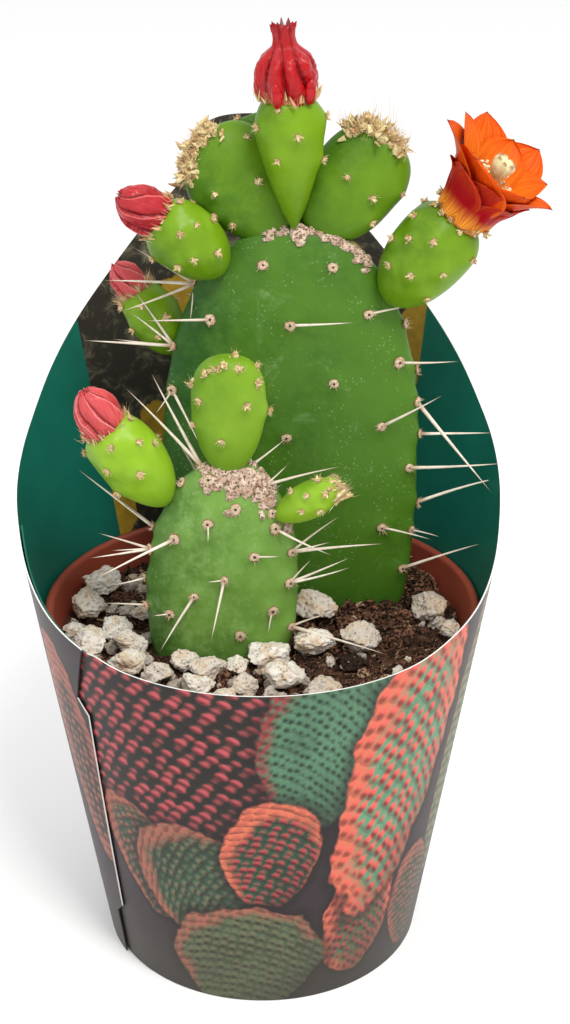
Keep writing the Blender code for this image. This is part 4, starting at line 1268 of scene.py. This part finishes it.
class Bud:
    """A closed bud: a profile turned round its shoot's axis, with lapped or puckered folds."""

    def __init__(self, shoot, profile, folds, twist, crease, jag):
        self.name = shoot.name + "_folds"
        self.shoot = shoot
        self.radii = [(t, radius) for t, radius, _ in profile]
        self.heights = [(t, height) for t, _, height in profile]
        self.folds = folds
        self.twist = twist
        self.crease = crease
        self.jag = jag

    def phase(self, t, angle):
        sway = 0.30 * noise.noise(spoke(angle, 2.2 * t + len(self.name)))
        return (angle + self.twist * t + sway) / math.tau * self.folds % 1.0

    def roughness(self, t, angle):
        """Unevenness as a share of the radius: broad swellings, and blisters if it is puckered."""
        spot = Vector((math.cos(angle) * 2, math.sin(angle) * 2, 3 * t + len(self.name)))
        rough = 0.06 * noise.noise(spot) + 0.035 * noise.noise(spot * 2.7)
        if self.crease > 0:
            blister = Vector((math.cos(angle) * 5, math.sin(angle) * 5, 17 * t))
            rough += 0.030 * noise.noise(blister)
        return rough

    def point(self, t, angle):
        """Local point of the skin at t along the bud, and how near it is to a groove."""
        phase = self.phase(t, angle)
        shape, groove = fold_at(phase, self.crease)
        fade = math.sin(math.pi * min(t * 1.15, 1.0)) ** 0.5 if t < 0.87 else 0.45
        shape = 1.0 + (shape - 1.0) * fade
        r = read_curve(self.radii, t) * (shape + self.roughness(t, angle))
        ragged = noise.noise(Vector((angle * 3.2, 7.0, 1.0))) + abs((phase * 2) % 1 - 0.5)
        height = read_curve(self.heights, t) + self.jag * smoothstep(0.90, 1.0, t) * ragged
        through = r * math.sin(angle) * self.shoot.depth / self.shoot.width
        return Vector((r * math.cos(angle), through, height)), groove

    def build(self, mat, around=168, along=90):
        points = []
        values = {"round": [], "along": [], "fold": []}
        for i in range(along + 1):
            for j in range(around):
                angle = math.tau * j / around
                point, groove = self.point(i / along, angle)
                points.append(point)
                values["round"].append(math.cos(angle))
                values["along"].append(i / along)
                values["fold"].append(groove)
        foot = len(points)
        points += [lift(self.heights[0][1]), lift(self.heights[-1][1] - 0.0006)]
        for name, ends in (("round", (0, 0)), ("along", (0, 1)), ("fold", (0, 0))):
            values[name] += ends
        faces = grid_faces(along + 1, around) + cap_faces(along + 1, around, foot, foot + 1)
        mesh = new_mesh(self.name, [self.shoot.matrix @ p for p in points], faces, values)
        finish_piece(link_mesh(self.name, mesh, [mat], smooth=0), "bud_skin", self.shoot.name)


def build_crown_scales(crown, mat):
    """Five fleshy scales pressed against the foot of the tall bud."""
    scales = Soup("round", "along", "fold")
    for angle in (-112, -40, 30, 100, 165):
        angle = math.radians(angle)
        out = spoke(angle)
        place = crown.matrix @ (out * 0.0064 + lift(0.0028))
        turn = crown.matrix.to_3x3() @ facing(out * 0.12 + lift(1))
        lump(scales, place, (0.0013, 0.0013, 0.0029), turn, 0.10, angle, 3, fold=0.2)
    finish_piece(scales.build("crown_bud_scales", mat, smooth=0), "bud_skin")


def add_bud_skirt(trim, bud, hairy):
    """Bristles and small scales round a bud's foot."""
    draw = random.Random(bud.name)
    count = 15
    for k in range(count):
        angle = math.tau * (k + draw.uniform(-0.3, 0.3)) / count
        radial = Vector((math.cos(angle), math.sin(angle) * bud.depth / bud.width, 0.0))
        foot = bud.matrix @ (radial * bud.width * 0.44 + lift(draw.uniform(0.0002, 0.0012)))
        way = bud.matrix.to_3x3() @ (radial * draw.uniform(0.15, 0.6) + lift(1.0))
        add_tuft(trim, foot, way.normalized(), bud.width * 0.11, draw, scales=2, bristles=int(6 * hairy),
                 reach=1.5 * hairy**0.5, spread=0.45)


def build_buds(shoots, mats, trim):
    crown = shoots["crown_bud"]
    Bud(crown, TALL_BUD, 8, 0.35, 0.34, 0.0016).build(mats["bud"])
    for name, (kind, folds, twist) in ROUND_BUDS.items():
        shoot = shoots[name]
        wide, high = 0.90 * shoot.width / 2, 0.96 * shoot.length
        profile = [(t, r * wide, h * high if t else -BUD_SINK) for t, r, h in ROUND_BUD]
        Bud(shoot, profile, folds, twist, -0.26, 0.0012).build(mats[kind])
    build_crown_scales(crown, mats["bud"])
    for name in ("crown_bud", *ROUND_BUDS):
        add_bud_skirt(trim, shoots[name], 2.2 if name == "left_middle_bud" else 1.0)


# ---------------------------------------------------------------- flower
# Each petal: bearing round the flower's axis, length, width and radius at its foot and at its tip
# (mm), and the share of its length where its tip starts.
PETALS = {
    "outer_petal_1": (335, 17.8, 12.5, 6.0, 14.2, 0.62),
    "outer_petal_2": (60, 20.0, 12.5, 6.0, 14.6, 0.78),
    "outer_petal_3": (120, 20.0, 13.0, 6.0, 15.0, 0.80),
    "outer_petal_4": (190, 20.0, 16.0, 6.0, 17.0, 0.56),
    "outer_petal_5": (231, 19.4, 18.5, 6.0, 12.4, 0.50),
    "outer_petal_6": (300, 18.2, 15.5, 6.0, 12.0, 0.58),
    "inner_petal_1": (20, 17.6, 11.5, 4.8, 12.5, 0.78),
    "inner_petal_2": (86, 18.6, 11.5, 4.8, 12.0, 0.80),
    "inner_petal_3": (153, 19.8, 11.0, 4.8, 14.6, 0.62),
    "inner_petal_4": (203, 17.0, 11.5, 4.8, 9.5, 0.62),
    "inner_petal_5": (262, 13.5, 12.5, 4.8, 7.2, 0.66),
    "inner_petal_6": (332, 14.5, 11.5, 4.8, 9.5, 0.70),
}
# The leafy outermost petals, from the two tall ones in front round to the left.
TEPALS = (
    (226, 14.6, 12.5, 6.8, 12.4, 0.50),
    (268, 15.4, 13.5, 6.8, 11.2, 0.50),
    (306, 12.0, 10.5, 6.8, 10.5, 0.50),
    (345, 12.5, 9.5, 6.8, 11.0, 0.50),
    (30, 12.5, 9.5, 6.8, 11.0, 0.50),
    (90, 12.5, 9.5, 6.8, 11.0, 0.50),
    (150, 12.5, 9.5, 6.8, 11.0, 0.50),
    (190, 12.0, 9.5, 6.8, 11.2, 0.50),
)
PETAL_THICK = 0.00032


def petal_half_width(width, taper, v):
    shape = 0.30 + 0.70 * math.sin(math.pi * min(v / 1.30, 1.0)) ** 0.9
    tip = max(1.0 - max((v - taper) / (1.0 - taper), 0.0) ** 2.2, 0.0) ** (0.30 + 0.60 * taper)
    return width / 2 * shape * max(tip, 0.02)


def petal_point(sizes, u, v, side):
    """Point of a petal's inner (side -1) or outer (side 1) face at u across it and v along it."""
    bearing, length, width, foot, reach, taper = sizes
    length, width, foot, reach = (k * MM for k in (length, width, foot, reach))
    out = foot + (reach - foot) * (0.75 * v**1.5 + 0.25 * v**4)
    half = petal_half_width(width, taper, v)
    seed = Vector((bearing * 0.13, foot * 900, 0.0))
    ruffle = noise.noise(Vector((u * 1.3, v * 2.2, 0)) + seed) * 0.0011 * v
    cup = 0.55 * half * u * u * (1 - 0.45 * v)
    crease = -0.0004 * math.exp(-(u / 0.16) ** 2) * math.sin(math.pi * v)
    edge = math.sqrt(max(1 - u * u, 0.0)) * min(1.0, (1 - v) * 8 + 0.15)
    offset = PETAL_THICK * (0.25 + 0.75 * edge) * 0.5 * side
    radial = out - cup + ruffle + crease + offset
    across = half * u
    angle = math.radians(bearing)
    c, s = math.cos(angle), math.sin(angle)
    return Vector((radial * c - across * s, radial * s + across * c, length * (v - 0.13 * v**3)))


def petal_faces(rows, columns):
    """Faces of both sheets of a petal and of the edge between them."""
    shift = rows * columns
    faces = grid_faces(rows, columns, wrap=False)
    faces += [tuple(reversed([k + shift for k in face])) for face in faces]
    rim = [row * columns + column for column, row in grid_rim(columns, rows)]
    return faces + [(b, a, a + shift, b + shift) for a, b in zip(rim, rim[1:] + rim[:1])]


def petal_mesh(name, mat, place, sizes, slot, node=None, rows=27, columns=17):
    """A cupped petal with a pointed tip: two faces a hair apart, closed round the edge."""
    points = []
    values = {"along": [], "across": [], "inside": []}
    for side in (-1, 1):
        for i in range(rows):
            v = i / (rows - 1)
            for j in range(columns):
                u = 2 * j / (columns - 1) - 1
                points.append(place @ petal_point(sizes, u, v, side))
                values["along"].append(v)
                values["across"].append(u)
                values["inside"].append(1.0 if side < 0 else 0.0)
    mesh = new_mesh(name, points, petal_faces(rows, columns), values)
    bm = bmesh.new()
    bm.from_mesh(mesh)
    bmesh.ops.recalc_face_normals(bm, faces=bm.faces)
    bm.to_mesh(mesh)
    bm.free()
    piece = link_mesh(name, mesh, [mat], smooth=70)
    finish_piece(piece, slot, *([node] if node else []))


def build_cup(flower, mat):
    """The cup that the petals and stamens stand in."""
    profile = (
        (0.0, 0.0012), (0.0040, 0.0010), (0.0052, 0.0026), (0.0060, 0.0030), (0.0063, 0.0004),
        (0.0056, -0.0016), (0.0, -0.0022),
    )
    bm = spun(profile, 48)
    bmesh.ops.transform(bm, matrix=flower, verts=bm.verts)
    finish_piece(add_object("flower_cup", bm, mat), "outer_petal")


def build_stamens(flower, mat, draw):
    turn = flower.to_3x3()
    threads = Soup("along", "shade")
    for _ in range(120):
        angle = draw.uniform(0, math.tau)
        ring = draw.uniform(0.0012, 0.0042)
        base = Vector((ring * math.cos(angle), ring * math.sin(angle), 0.0010))
        lean_x = math.cos(angle) * draw.uniform(0.05, 0.30)
        lean_y = math.sin(angle) * draw.uniform(0.05, 0.30)
        way = Vector((lean_x, lean_y, 1.0))
        length = draw.uniform(0.0070, 0.0105)
        thorn(threads, flower @ base, turn @ way, length, 0.00013, sides=4, rings=3, power=0.2, shade=0.4)
        head = flower @ (base + way.normalized() * length)
        spin = turn @ random_turn(draw)
        lump(threads, head, (0.00036, 0.00036, 0.0006), spin, 0.2, draw.uniform(0, 9), 1,
             shade=0.9 + 0.1 * draw.random())
    finish_piece(threads.build("stamen_threads", mat), "stamens", "stamens")


def build_style(flower, mat):
    turn = flower.to_3x3()
    style = Soup("along", "shade")
    thorn(style, flower @ lift(0.0008), turn @ lift(1), 0.0135, 0.0011, sides=12, rings=6, power=0.05,
          shade=0.2)
    lobes = 7
    for k in range(lobes):
        out = spoke(math.tau * k / lobes)
        middle = flower @ (out * 0.0013 + lift(0.0138))
        lean = turn @ facing(out * 0.35 + lift(1))
        lump(style, middle, (0.00115, 0.00115, 0.0028), lean, 0.10, k + 3, 3, shade=0.8)
    finish_piece(style.build("stigma_lobes", mat), "style", "style")


def build_flower(shoots, mats, trim):
    dip = 0.0062 * math.sin(math.radians(12.0))
    foot = shoots["right_fruit"].end(GAP + dip + 0.0005)
    tilt = Matrix.Rotation(math.radians(FLOWER_TILT), 4, "Y")
    lean = Matrix.Rotation(math.radians(FLOWER_LEAN), 4, "X")
    flower = Matrix.Translation(foot) @ (tilt @ lean)
    for node, sizes in PETALS.items():
        whorl = node[:-2]
        petal_mesh(node + "_blade", mats[whorl], flower, sizes, whorl, node)
    for k, sizes in enumerate(TEPALS):
        petal_mesh(f"tepal_{k + 1}", mats["tepal"], flower, sizes, "outer_petal", rows=19, columns=13)
    build_cup(flower, mats["cup"])
    draw = random.Random("flower")
    build_stamens(flower, mats["stamens"], draw)
    build_style(flower, mats["style"])
    tufts = 13
    for k in range(tufts):
        radial = spoke(math.tau * (k + draw.uniform(-0.3, 0.3)) / tufts)
        place = flower @ (radial * 0.0068 + lift(draw.uniform(-0.0012, 0.0006)))
        way = (flower.to_3x3() @ (radial + lift(0.6))).normalized()
        add_tuft(trim, place, way, 0.0011, draw, scales=5, bristles=5)


# ---------------------------------------------------------------- soil and stones
def soil_height(x, y):
    reach = min(math.hypot(x, y) / pot_inner(soil_level()), 1.0)
    heap_x, heap_y, heap, spread = SOIL_HEAP
    away = math.hypot(x - heap_x, y - heap_y) / spread
    return soil_level() + SOIL_MOUND * (1 - reach**2) + heap * math.exp(-away * away)


def rough_soil(x, y):
    place = Vector((x, y, 0.0))
    rough = 0.0012 * noise.noise(place * 170) + 0.0010 * noise.noise(place * 420)
    rough += 0.0006 * noise.noise(place * 1000)
    return soil_height(x, y) + rough - 0.0002


def ring(radius, steps):
    turns = [math.tau * j / steps for j in range(steps)]
    return [(radius * math.cos(turn), radius * math.sin(turn)) for turn in turns]


def build_soil(mat):
    """The soil: a rough top, and a plain side that follows the pot down to its floor."""
    edge = pot_inner(soil_level()) - GAP
    rings, steps = 110, 300
    bm = bmesh.new()
    rows = []
    for i in range(1, rings + 1):
        spots = ring(edge * (i / rings) ** 0.9, steps)
        rows.append([bm.verts.new((x, y, rough_soil(x, y))) for x, y in spots])
    for z in (soil_level() * 0.6, POT_FLOOR + GAP):
        rows.append([bm.verts.new((x, y, z)) for x, y in ring(pot_inner(z) - GAP, steps)])
    for low, high in zip(rows, rows[1:]):
        for j in range(steps):
            k = (j + 1) % steps
            bm.faces.new((low[j], low[k], high[k], high[j]))
    bm.faces.new(rows[0])
    bm.faces.new(list(reversed(rows[-1])))
    finish_piece(add_object("soil_bed", bm, mat, smooth=0), "soil", "potting_soil")


def blocked(x, y, shoots, room):
    """Whether a spot on the soil lies inside one of the two rooted paddles."""
    for name in STEM_PADS:
        shoot = shoots[name]
        local = shoot.matrix.inverted() @ Vector((x, y, soil_level() + 0.002))
        out = shoot.outline(local.z / shoot.length)
        wide, thick = shoot.width / 2 * out + room, shoot.depth / 2 * out**0.7 + room
        if (local.x / wide) ** 2 + (local.y / thick) ** 2 < 1.0:
            return True
    return False


def litter_edge():
    return pot_inner(soil_level()) - 0.0012


def add_crumb(bits, place, seed, draw):
    size = draw.uniform(0.0003, 0.0012) * (1.9 if draw.random() < 0.12 else 1.0)
    sizes = (size * draw.uniform(0.8, 1.9), size, size * draw.uniform(0.35, 0.8))
    lump(bits, place, sizes, random_turn(draw), 0.6, seed, 1, shade=draw.random())


def add_fibre(bits, place, draw):
    """A thin fibre that lies on the soil, unless it would reach the pot's wall."""
    way = spoke(draw.uniform(0, math.tau), draw.uniform(-0.05, 0.35))
    length = draw.uniform(0.002, 0.0080)
    if math.hypot(*(place + way * length).xy) > litter_edge():
        return
    sag = Vector((draw.gauss(0, 1), draw.gauss(0, 1), -abs(draw.gauss(0, 0.6))))
    thorn(bits, place, way, length, draw.uniform(0.00009, 0.00024), sag * length * 0.3, sides=4, rings=4,
          power=0.4, shade=0.5 + 0.5 * draw.random())


def strew_crumbs(bits, shoots, draw):
    """Crumbs and fibres over the soil, more than a fifth of them on the heap."""
    edge = litter_edge()
    heap_x, heap_y, _, spread = SOIL_HEAP
    made = 0
    while made < 2600:
        if draw.random() < 0.22:
            x, y = draw.gauss(heap_x, spread * 0.6), draw.gauss(heap_y, spread * 0.6)
        else:
            r, a = edge * math.sqrt(draw.random()), draw.uniform(0, math.tau)
            x, y = r * math.cos(a), r * math.sin(a)
        if math.hypot(x, y) > edge or blocked(x, y, shoots, 0.0004):
            continue
        made += 1
        place = Vector((x, y, rough_soil(x, y) + 0.0002))
        if draw.random() < 0.62:
            add_crumb(bits, place, made * 0.37, draw)
        else:
            add_fibre(bits, place, draw)


def add_rootlets(bits, shoots, draw):
    """Longer roots that arch out of the heap."""
    heap_x, heap_y, _, _ = SOIL_HEAP
    for _ in range(14):
        angle = draw.uniform(-0.6, 2.2)
        foot = Vector((draw.gauss(heap_x, 0.006), draw.gauss(heap_y - 0.004, 0.008), 0.0))
        foot.z = rough_soil(foot.x, foot.y)
        way = spoke(angle, draw.uniform(0.2, 0.9))
        length = draw.uniform(0.007, 0.013)
        sag = Vector((draw.gauss(0, 1), draw.gauss(0, 1), -abs(draw.gauss(0.6, 0.4))))
        bend = sag * length * 0.35
        inside = math.hypot(*(foot + way.normalized() * length + bend).xy) < litter_edge()
        if inside and not blocked(foot.x, foot.y, shoots, 0.001):
            thorn(bits, foot, way, length, draw.uniform(0.00018, 0.00032), bend, sides=5, rings=7,
                  power=0.35, shade=draw.uniform(0.3, 0.85))


def add_clods(bits, shoots, draw):
    """Rough clods of bark and peat on and in front of the heap."""
    heap_x, heap_y, _, spread = SOIL_HEAP
    for k in range(90):
        x, y = draw.gauss(heap_x - 0.006, spread * 0.9), draw.gauss(heap_y - 0.012, spread * 1.3)
        size = draw.uniform(0.0009, 0.0022)
        if math.hypot(x, y) > litter_edge() - size or blocked(x, y, shoots, size):
            continue
        place = Vector((x, y, rough_soil(x, y) + size * 0.3))
        sizes = (size * draw.uniform(0.9, 1.6), size, size * draw.uniform(0.5, 0.9))
        lump(bits, place, sizes, random_turn(draw), 0.9, k + 0.5, 3, shade=draw.uniform(0.2, 0.8))


def build_litter(shoots, mat):
    draw = random.Random(11)
    bits = Soup("along", "shade")
    strew_crumbs(bits, shoots, draw)
    add_rootlets(bits, shoots, draw)
    add_clods(bits, shoots, draw)
    finish_piece(bits.build("litter", mat, smooth=30), "soil")


def chunk_reach(rays, planes, offsets):
    """How far each ray from the middle runs before it meets the first of the planes."""
    toward = rays @ planes.T
    hits = np.where(toward > 0.05, offsets[None] / np.maximum(toward, 0.05), 9.0)
    return hits.min(1)


def stone_body(soup, points, draw, shade):
    """An angular, pitted stone that fills the CAD piece with the given corner points."""
    low, high = points.min(0), points.max(0)
    middle, half = (low + high) / 2, (high - low) / 2
    seed = Vector((draw.uniform(0, 90), draw.uniform(0, 90), draw.uniform(0, 90)))
    ball, faces = unit_ball(5)
    rays = np.array([tuple(p) for p in ball])
    planes = np.array([[draw.gauss(0, 1) for _ in range(3)] for _ in range(13)])
    planes /= np.linalg.norm(planes, axis=1)[:, None]
    offsets = np.array([draw.uniform(0.68, 0.98) for _ in range(13)])
    reach = np.minimum(chunk_reach(rays, planes, offsets), 1.16)
    turn = random_turn(draw) if max(half) < 1.25 * min(half) else Matrix.Identity(3)
    placed = []
    dirt = []
    for p, r in zip(ball, reach):
        q = p * float(r)
        dent = 0.14 * noise.noise(q * 2.0 + seed) + 0.10 * noise.noise(q * 5.0 + seed)
        dent += 0.06 * noise.noise(q * 11.0 + seed)
        pit = max(0.0, 0.36 - noise.voronoi(q * 3.4 + seed)[0][0]) * 0.50
        q = turn @ (q * (1.02 + dent - pit))
        placed.append([m + k * h for m, k, h in zip(middle, q, half)])
        # Dirt in the pits, and painted shade on the lower part of the stone.
        dirt.append(min(1.0, pit * 6.0 + max(0.0, -q.z - 0.35)))
    soup.add(placed, faces, dirt=dirt, shade=shade)


def build_stones(mats):
    """Each pumice stone and bark chip fills its CAD piece."""
    for name in sorted(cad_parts):
        if not name.startswith(("pumice_stone", "bark_chip")):
            continue
        draw = random.Random(name)
        points = np.array([tuple(v.co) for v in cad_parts[name].data.vertices])
        soup = Soup("dirt", "shade")
        stone_body(soup, points, draw, draw.random())
        mat, slot = (mats["pumice"], "pumice") if name.startswith("pumice") else (mats["litter"], "bark")
        finish_piece(soup.build(name + "_body", mat, smooth=0), slot, name)


def build_grit(shoots, mat):
    """Smaller bits of pumice in the gaps between the stones."""
    draw = random.Random(3)
    bits = Soup("dirt", "shade")
    edge = pot_inner(soil_level()) - 0.0020
    made = 0
    while made < 120:
        a = math.radians(draw.gauss(240, 60))
        r = edge * math.sqrt(draw.uniform(0.15, 1.0))
        x, y = r * math.cos(a), r * math.sin(a)
        if blocked(x, y, shoots, 0.0012):
            continue
        made += 1
        size = draw.uniform(0.0005, 0.0019)
        place = Vector((x, y, rough_soil(x, y) + size * 0.4))
        sizes = (size * draw.uniform(0.9, 1.5), size, size * 0.8)
        lump(bits, place, sizes, random_turn(draw), 0.5, made, 3, dirt=draw.uniform(0.2, 0.6),
             shade=draw.random())
    finish_piece(bits.build("pumice_grit", mat, smooth=40), "pumice")


# ---------------------------------------------------------------- crowns of tufts and scabs
# Tufts along a young pad's tip: from and to (degrees), count, size, reach.
TIP_TUFTS = {
    "upper_left_pad": (-140, -72, 22, 0.0022, 0.9),
    "upper_right_pad": (-148, -70, 22, 0.0022, 1.1),
    "centre_pad": (-150, -30, 8, 0.0014, 0.8),
}
# Corky scabs: paddle, start and end along it, side, count, size and depth.
SCABS = (
    ("main_pad", 0.925, 0.998, 1, 80, 0.0010, 0.0009),
    ("main_pad", 0.9995, 1.0, 1, 34, 0.0013, 0.0016),
    ("main_pad", 0.990, 1.0, -1, 24, 0.0009, 0.0010),
    ("front_pad", 0.925, 1.0, 1, 150, 0.0012, 0.0026),
    ("front_pad", 0.9990, 1.0, 1, 60, 0.0012, 0.0030),
    ("front_pad", 0.985, 1.0, -1, 40, 0.0010, 0.0016),
    ("front_pad", 0.79, 0.85, 1, 30, 0.0013, 0.0014),
)


def add_tip_tufts(trim, shoot, skin, start, end, count, size, reach, draw):
    """Withered tufts in an arc along a young pad's tip."""
    for k in range(count):
        angle = math.radians(start + (end - start) * (k + draw.uniform(-0.3, 0.3)) / (count - 1))
        top = Vector((math.cos(angle), 0.0, -math.sin(angle)))
        forward = draw.uniform(-0.55, 0.20) * shoot.depth
        local = Vector((top.x * shoot.width * 0.5, forward, (0.60 + 0.40 * top.z) * shoot.length))
        place, normal, _, _ = skin.find_nearest(shoot.matrix @ local)
        up = (normal + Vector((0, -0.15, 0.35))).normalized()
        add_tuft(trim, place, up, size * draw.uniform(0.7, 1.15), draw, scales=8, bristles=16,
                 reach=reach)


def build_crowns(shoots, skins, trim):
    """Tufts on the tips of the young shoots, and scabs where they grew from the old ones."""
    draw = random.Random(23)
    for name, (start, end, count, size, reach) in TIP_TUFTS.items():
        add_tip_tufts(trim, shoots[name], skins[name], start, end, count, size, reach, draw)
    tip = shoots["side_fruit"]
    for _ in range(14):
        across, through = draw.uniform(-0.0022, 0.0022), draw.uniform(-0.002, 0.002)
        place = tip.matrix @ Vector((across, through, tip.length * draw.uniform(0.80, 0.95)))
        way = (tip.matrix.to_3x3() @ lift(1)).normalized()
        add_tuft(trim, place, way, 0.0020, draw, scales=3, bristles=9, spread=0.35)
    right = shoots["upper_right_pad"]
    for _ in range(11):
        across, through = draw.uniform(-0.006, 0.006), draw.uniform(-0.002, 0.002)
        foot = right.matrix @ Vector((across, through, right.length * 0.96))
        way = Vector((draw.uniform(-0.25, 0.35), draw.uniform(-0.4, 0.1), 1.0))
        thorn(trim.bristles, foot, way, draw.uniform(0.006, 0.0125), 0.00010, sides=4, rings=5, shade=1.0)
    for name, *stretch in SCABS:
        scab(trim, shoots[name], skins[name], *stretch, draw)


# ---------------------------------------------------------------- put together
# Skins of the shoots, by kind or by name.
GREENS = {
    "mature": ("mature_skin", (0.015, 0.072, 0.010), (0.065, 0.168, 0.010), (0.066, 0.160, 0.022), 0.9),
    "front_pad": ("front_pad_skin", (0.040, 0.115, 0.014), (0.145, 0.290, 0.045), (0.20, 0.34, 0.10), 0.9),
    "young": ("young_pad_skin", (0.034, 0.108, 0.003), (0.115, 0.240, 0.006), (0.13, 0.26, 0.012), 0.15),
    "fruit": ("fruit_skin", (0.075, 0.175, 0.003), (0.150, 0.290, 0.005), (0.20, 0.34, 0.02), 0.10, 0.34),
    "centre_pad": (
        "centre_pad_skin", (0.085, 0.205, 0.006), (0.175, 0.320, 0.014), (0.20, 0.34, 0.03), 0.12,
    ),
    "side_fruit": (
        "pale_fruit_skin", (0.115, 0.245, 0.008), (0.230, 0.410, 0.014), (0.28, 0.46, 0.04), 0.10, 0.34,
    ),
}
SAME_GREEN = {"hidden_pad": "mature", "left_lower_fruit": "side_fruit"}
# Bud reds: name, deep and bright reds, foot colour, crease colour (painted shade on the tall bud, a painted
# highlight on the round buds), roughness and coat.
BUD_REDS = {
    "bud": ("bud_red", (0.26, 0.001, 0.003), (0.49, 0.003, 0.007), (0.66, 0.34, 0.16),
            (0.13, 0.001, 0.002), 0.20, 0.20),
    "rose_bud": ("bud_rose", (0.30, 0.006, 0.012), (0.50, 0.028, 0.036), (0.70, 0.36, 0.20),
                 (0.72, 0.16, 0.15), 0.36, 0.15),
    "pink_bud": ("bud_pink", (0.46, 0.030, 0.040), (0.66, 0.11, 0.11), (0.72, 0.40, 0.24),
                 (0.80, 0.30, 0.27), 0.42, 0.10),
}
PETAL_COLORS = {
    "outer_petal": ((0.92, 0.50, 0.12), (0.78, 0.15, 0.006), (0.72, 0.10, 0.005),
                    (0.50, 0.014, 0.002), (0.60, 0.09, 0.004)),
    "inner_petal": ((0.94, 0.64, 0.26), (0.80, 0.19, 0.010), (0.72, 0.10, 0.005),
                    (0.60, 0.055, 0.003), (0.80, 0.22, 0.012)),
    "tepal": ((0.60, 0.16, 0.010), (0.55, 0.060, 0.008), (0.42, 0.015, 0.008),
              (0.32, 0.002, 0.008), (0.80, 0.30, 0.030)),
}
SCALE_COLORS = {
    "cup": ("flower_cup", (0.50, 0.16, 0.02), (0.60, 0.24, 0.05), (0.40, 0.03, 0.01)),
    "stamens": ("pollen", (0.72, 0.52, 0.22), (0.86, 0.74, 0.46), (0.88, 0.80, 0.56)),
    "style": ("stigma", (0.62, 0.60, 0.30), (0.80, 0.76, 0.46), (0.72, 0.72, 0.42)),
    "scale_leaf": ("scale_leaf", (0.44, 0.33, 0.14), (0.76, 0.66, 0.36), (0.42, 0.18, 0.06)),
}
SPINE_COLORS = ((0.36, 0.24, 0.15), (0.78, 0.71, 0.60), (0.24, 0.16, 0.11))
BRISTLE_COLORS = ((0.46, 0.28, 0.13), (0.72, 0.56, 0.34), (0.62, 0.42, 0.20))


def make_materials():
    """The greens by shoot, and everything else by what it covers."""
    greens = {kind: skin_material(*looks) for kind, looks in GREENS.items()}
    greens.update({name: greens[like] for name, like in SAME_GREEN.items()})
    mats = {kind: fleshy_red_material(*looks) for kind, looks in BUD_REDS.items()}
    mats.update({kind: petal_material(kind, *looks) for kind, looks in PETAL_COLORS.items()})
    mats.update({kind: scale_material(*looks) for kind, looks in SCALE_COLORS.items()})
    mats["litter"] = crumb_material()
    mats["pumice"] = pumice_material()
    return greens, mats


def build_trim(trim, mats):
    finish_piece(trim.felt.build("areole_felt", felt_material()), "mature_skin")
    finish_piece(trim.spines.build("spines", spine_material("spine", *SPINE_COLORS)), "mature_skin")
    finish_piece(trim.bristles.build("bristles", spine_material("bristle", *BRISTLE_COLORS)), "mature_skin")
    finish_piece(trim.cork.build("cork_scabs", cork_material()), "mature_skin")
    finish_piece(trim.scales.build("scale_leaves", mats["scale_leaf"]), "bud_skin")


def main():
    set_stage()
    front_print = printed_card_material("printed_card_front", PRINT_PADS)
    back_print = printed_card_material("printed_card_back", back_pads())
    build_sleeve([front_print, card_inside_material(), card_edge_material(), back_print])
    build_pot(pot_material())
    greens, mats = make_materials()
    shoots = cactus_shoots()
    trim = Trim()
    skins = build_shoots(shoots, greens, trim)
    build_buds(shoots, mats, trim)
    build_flower(shoots, mats, trim)
    build_crowns(shoots, skins, trim)
    build_trim(trim, mats)
    build_soil(soil_material())
    build_litter(shoots, mats["litter"])
    build_stones(mats)
    build_grit(shoots, mats["pumice"])


main()
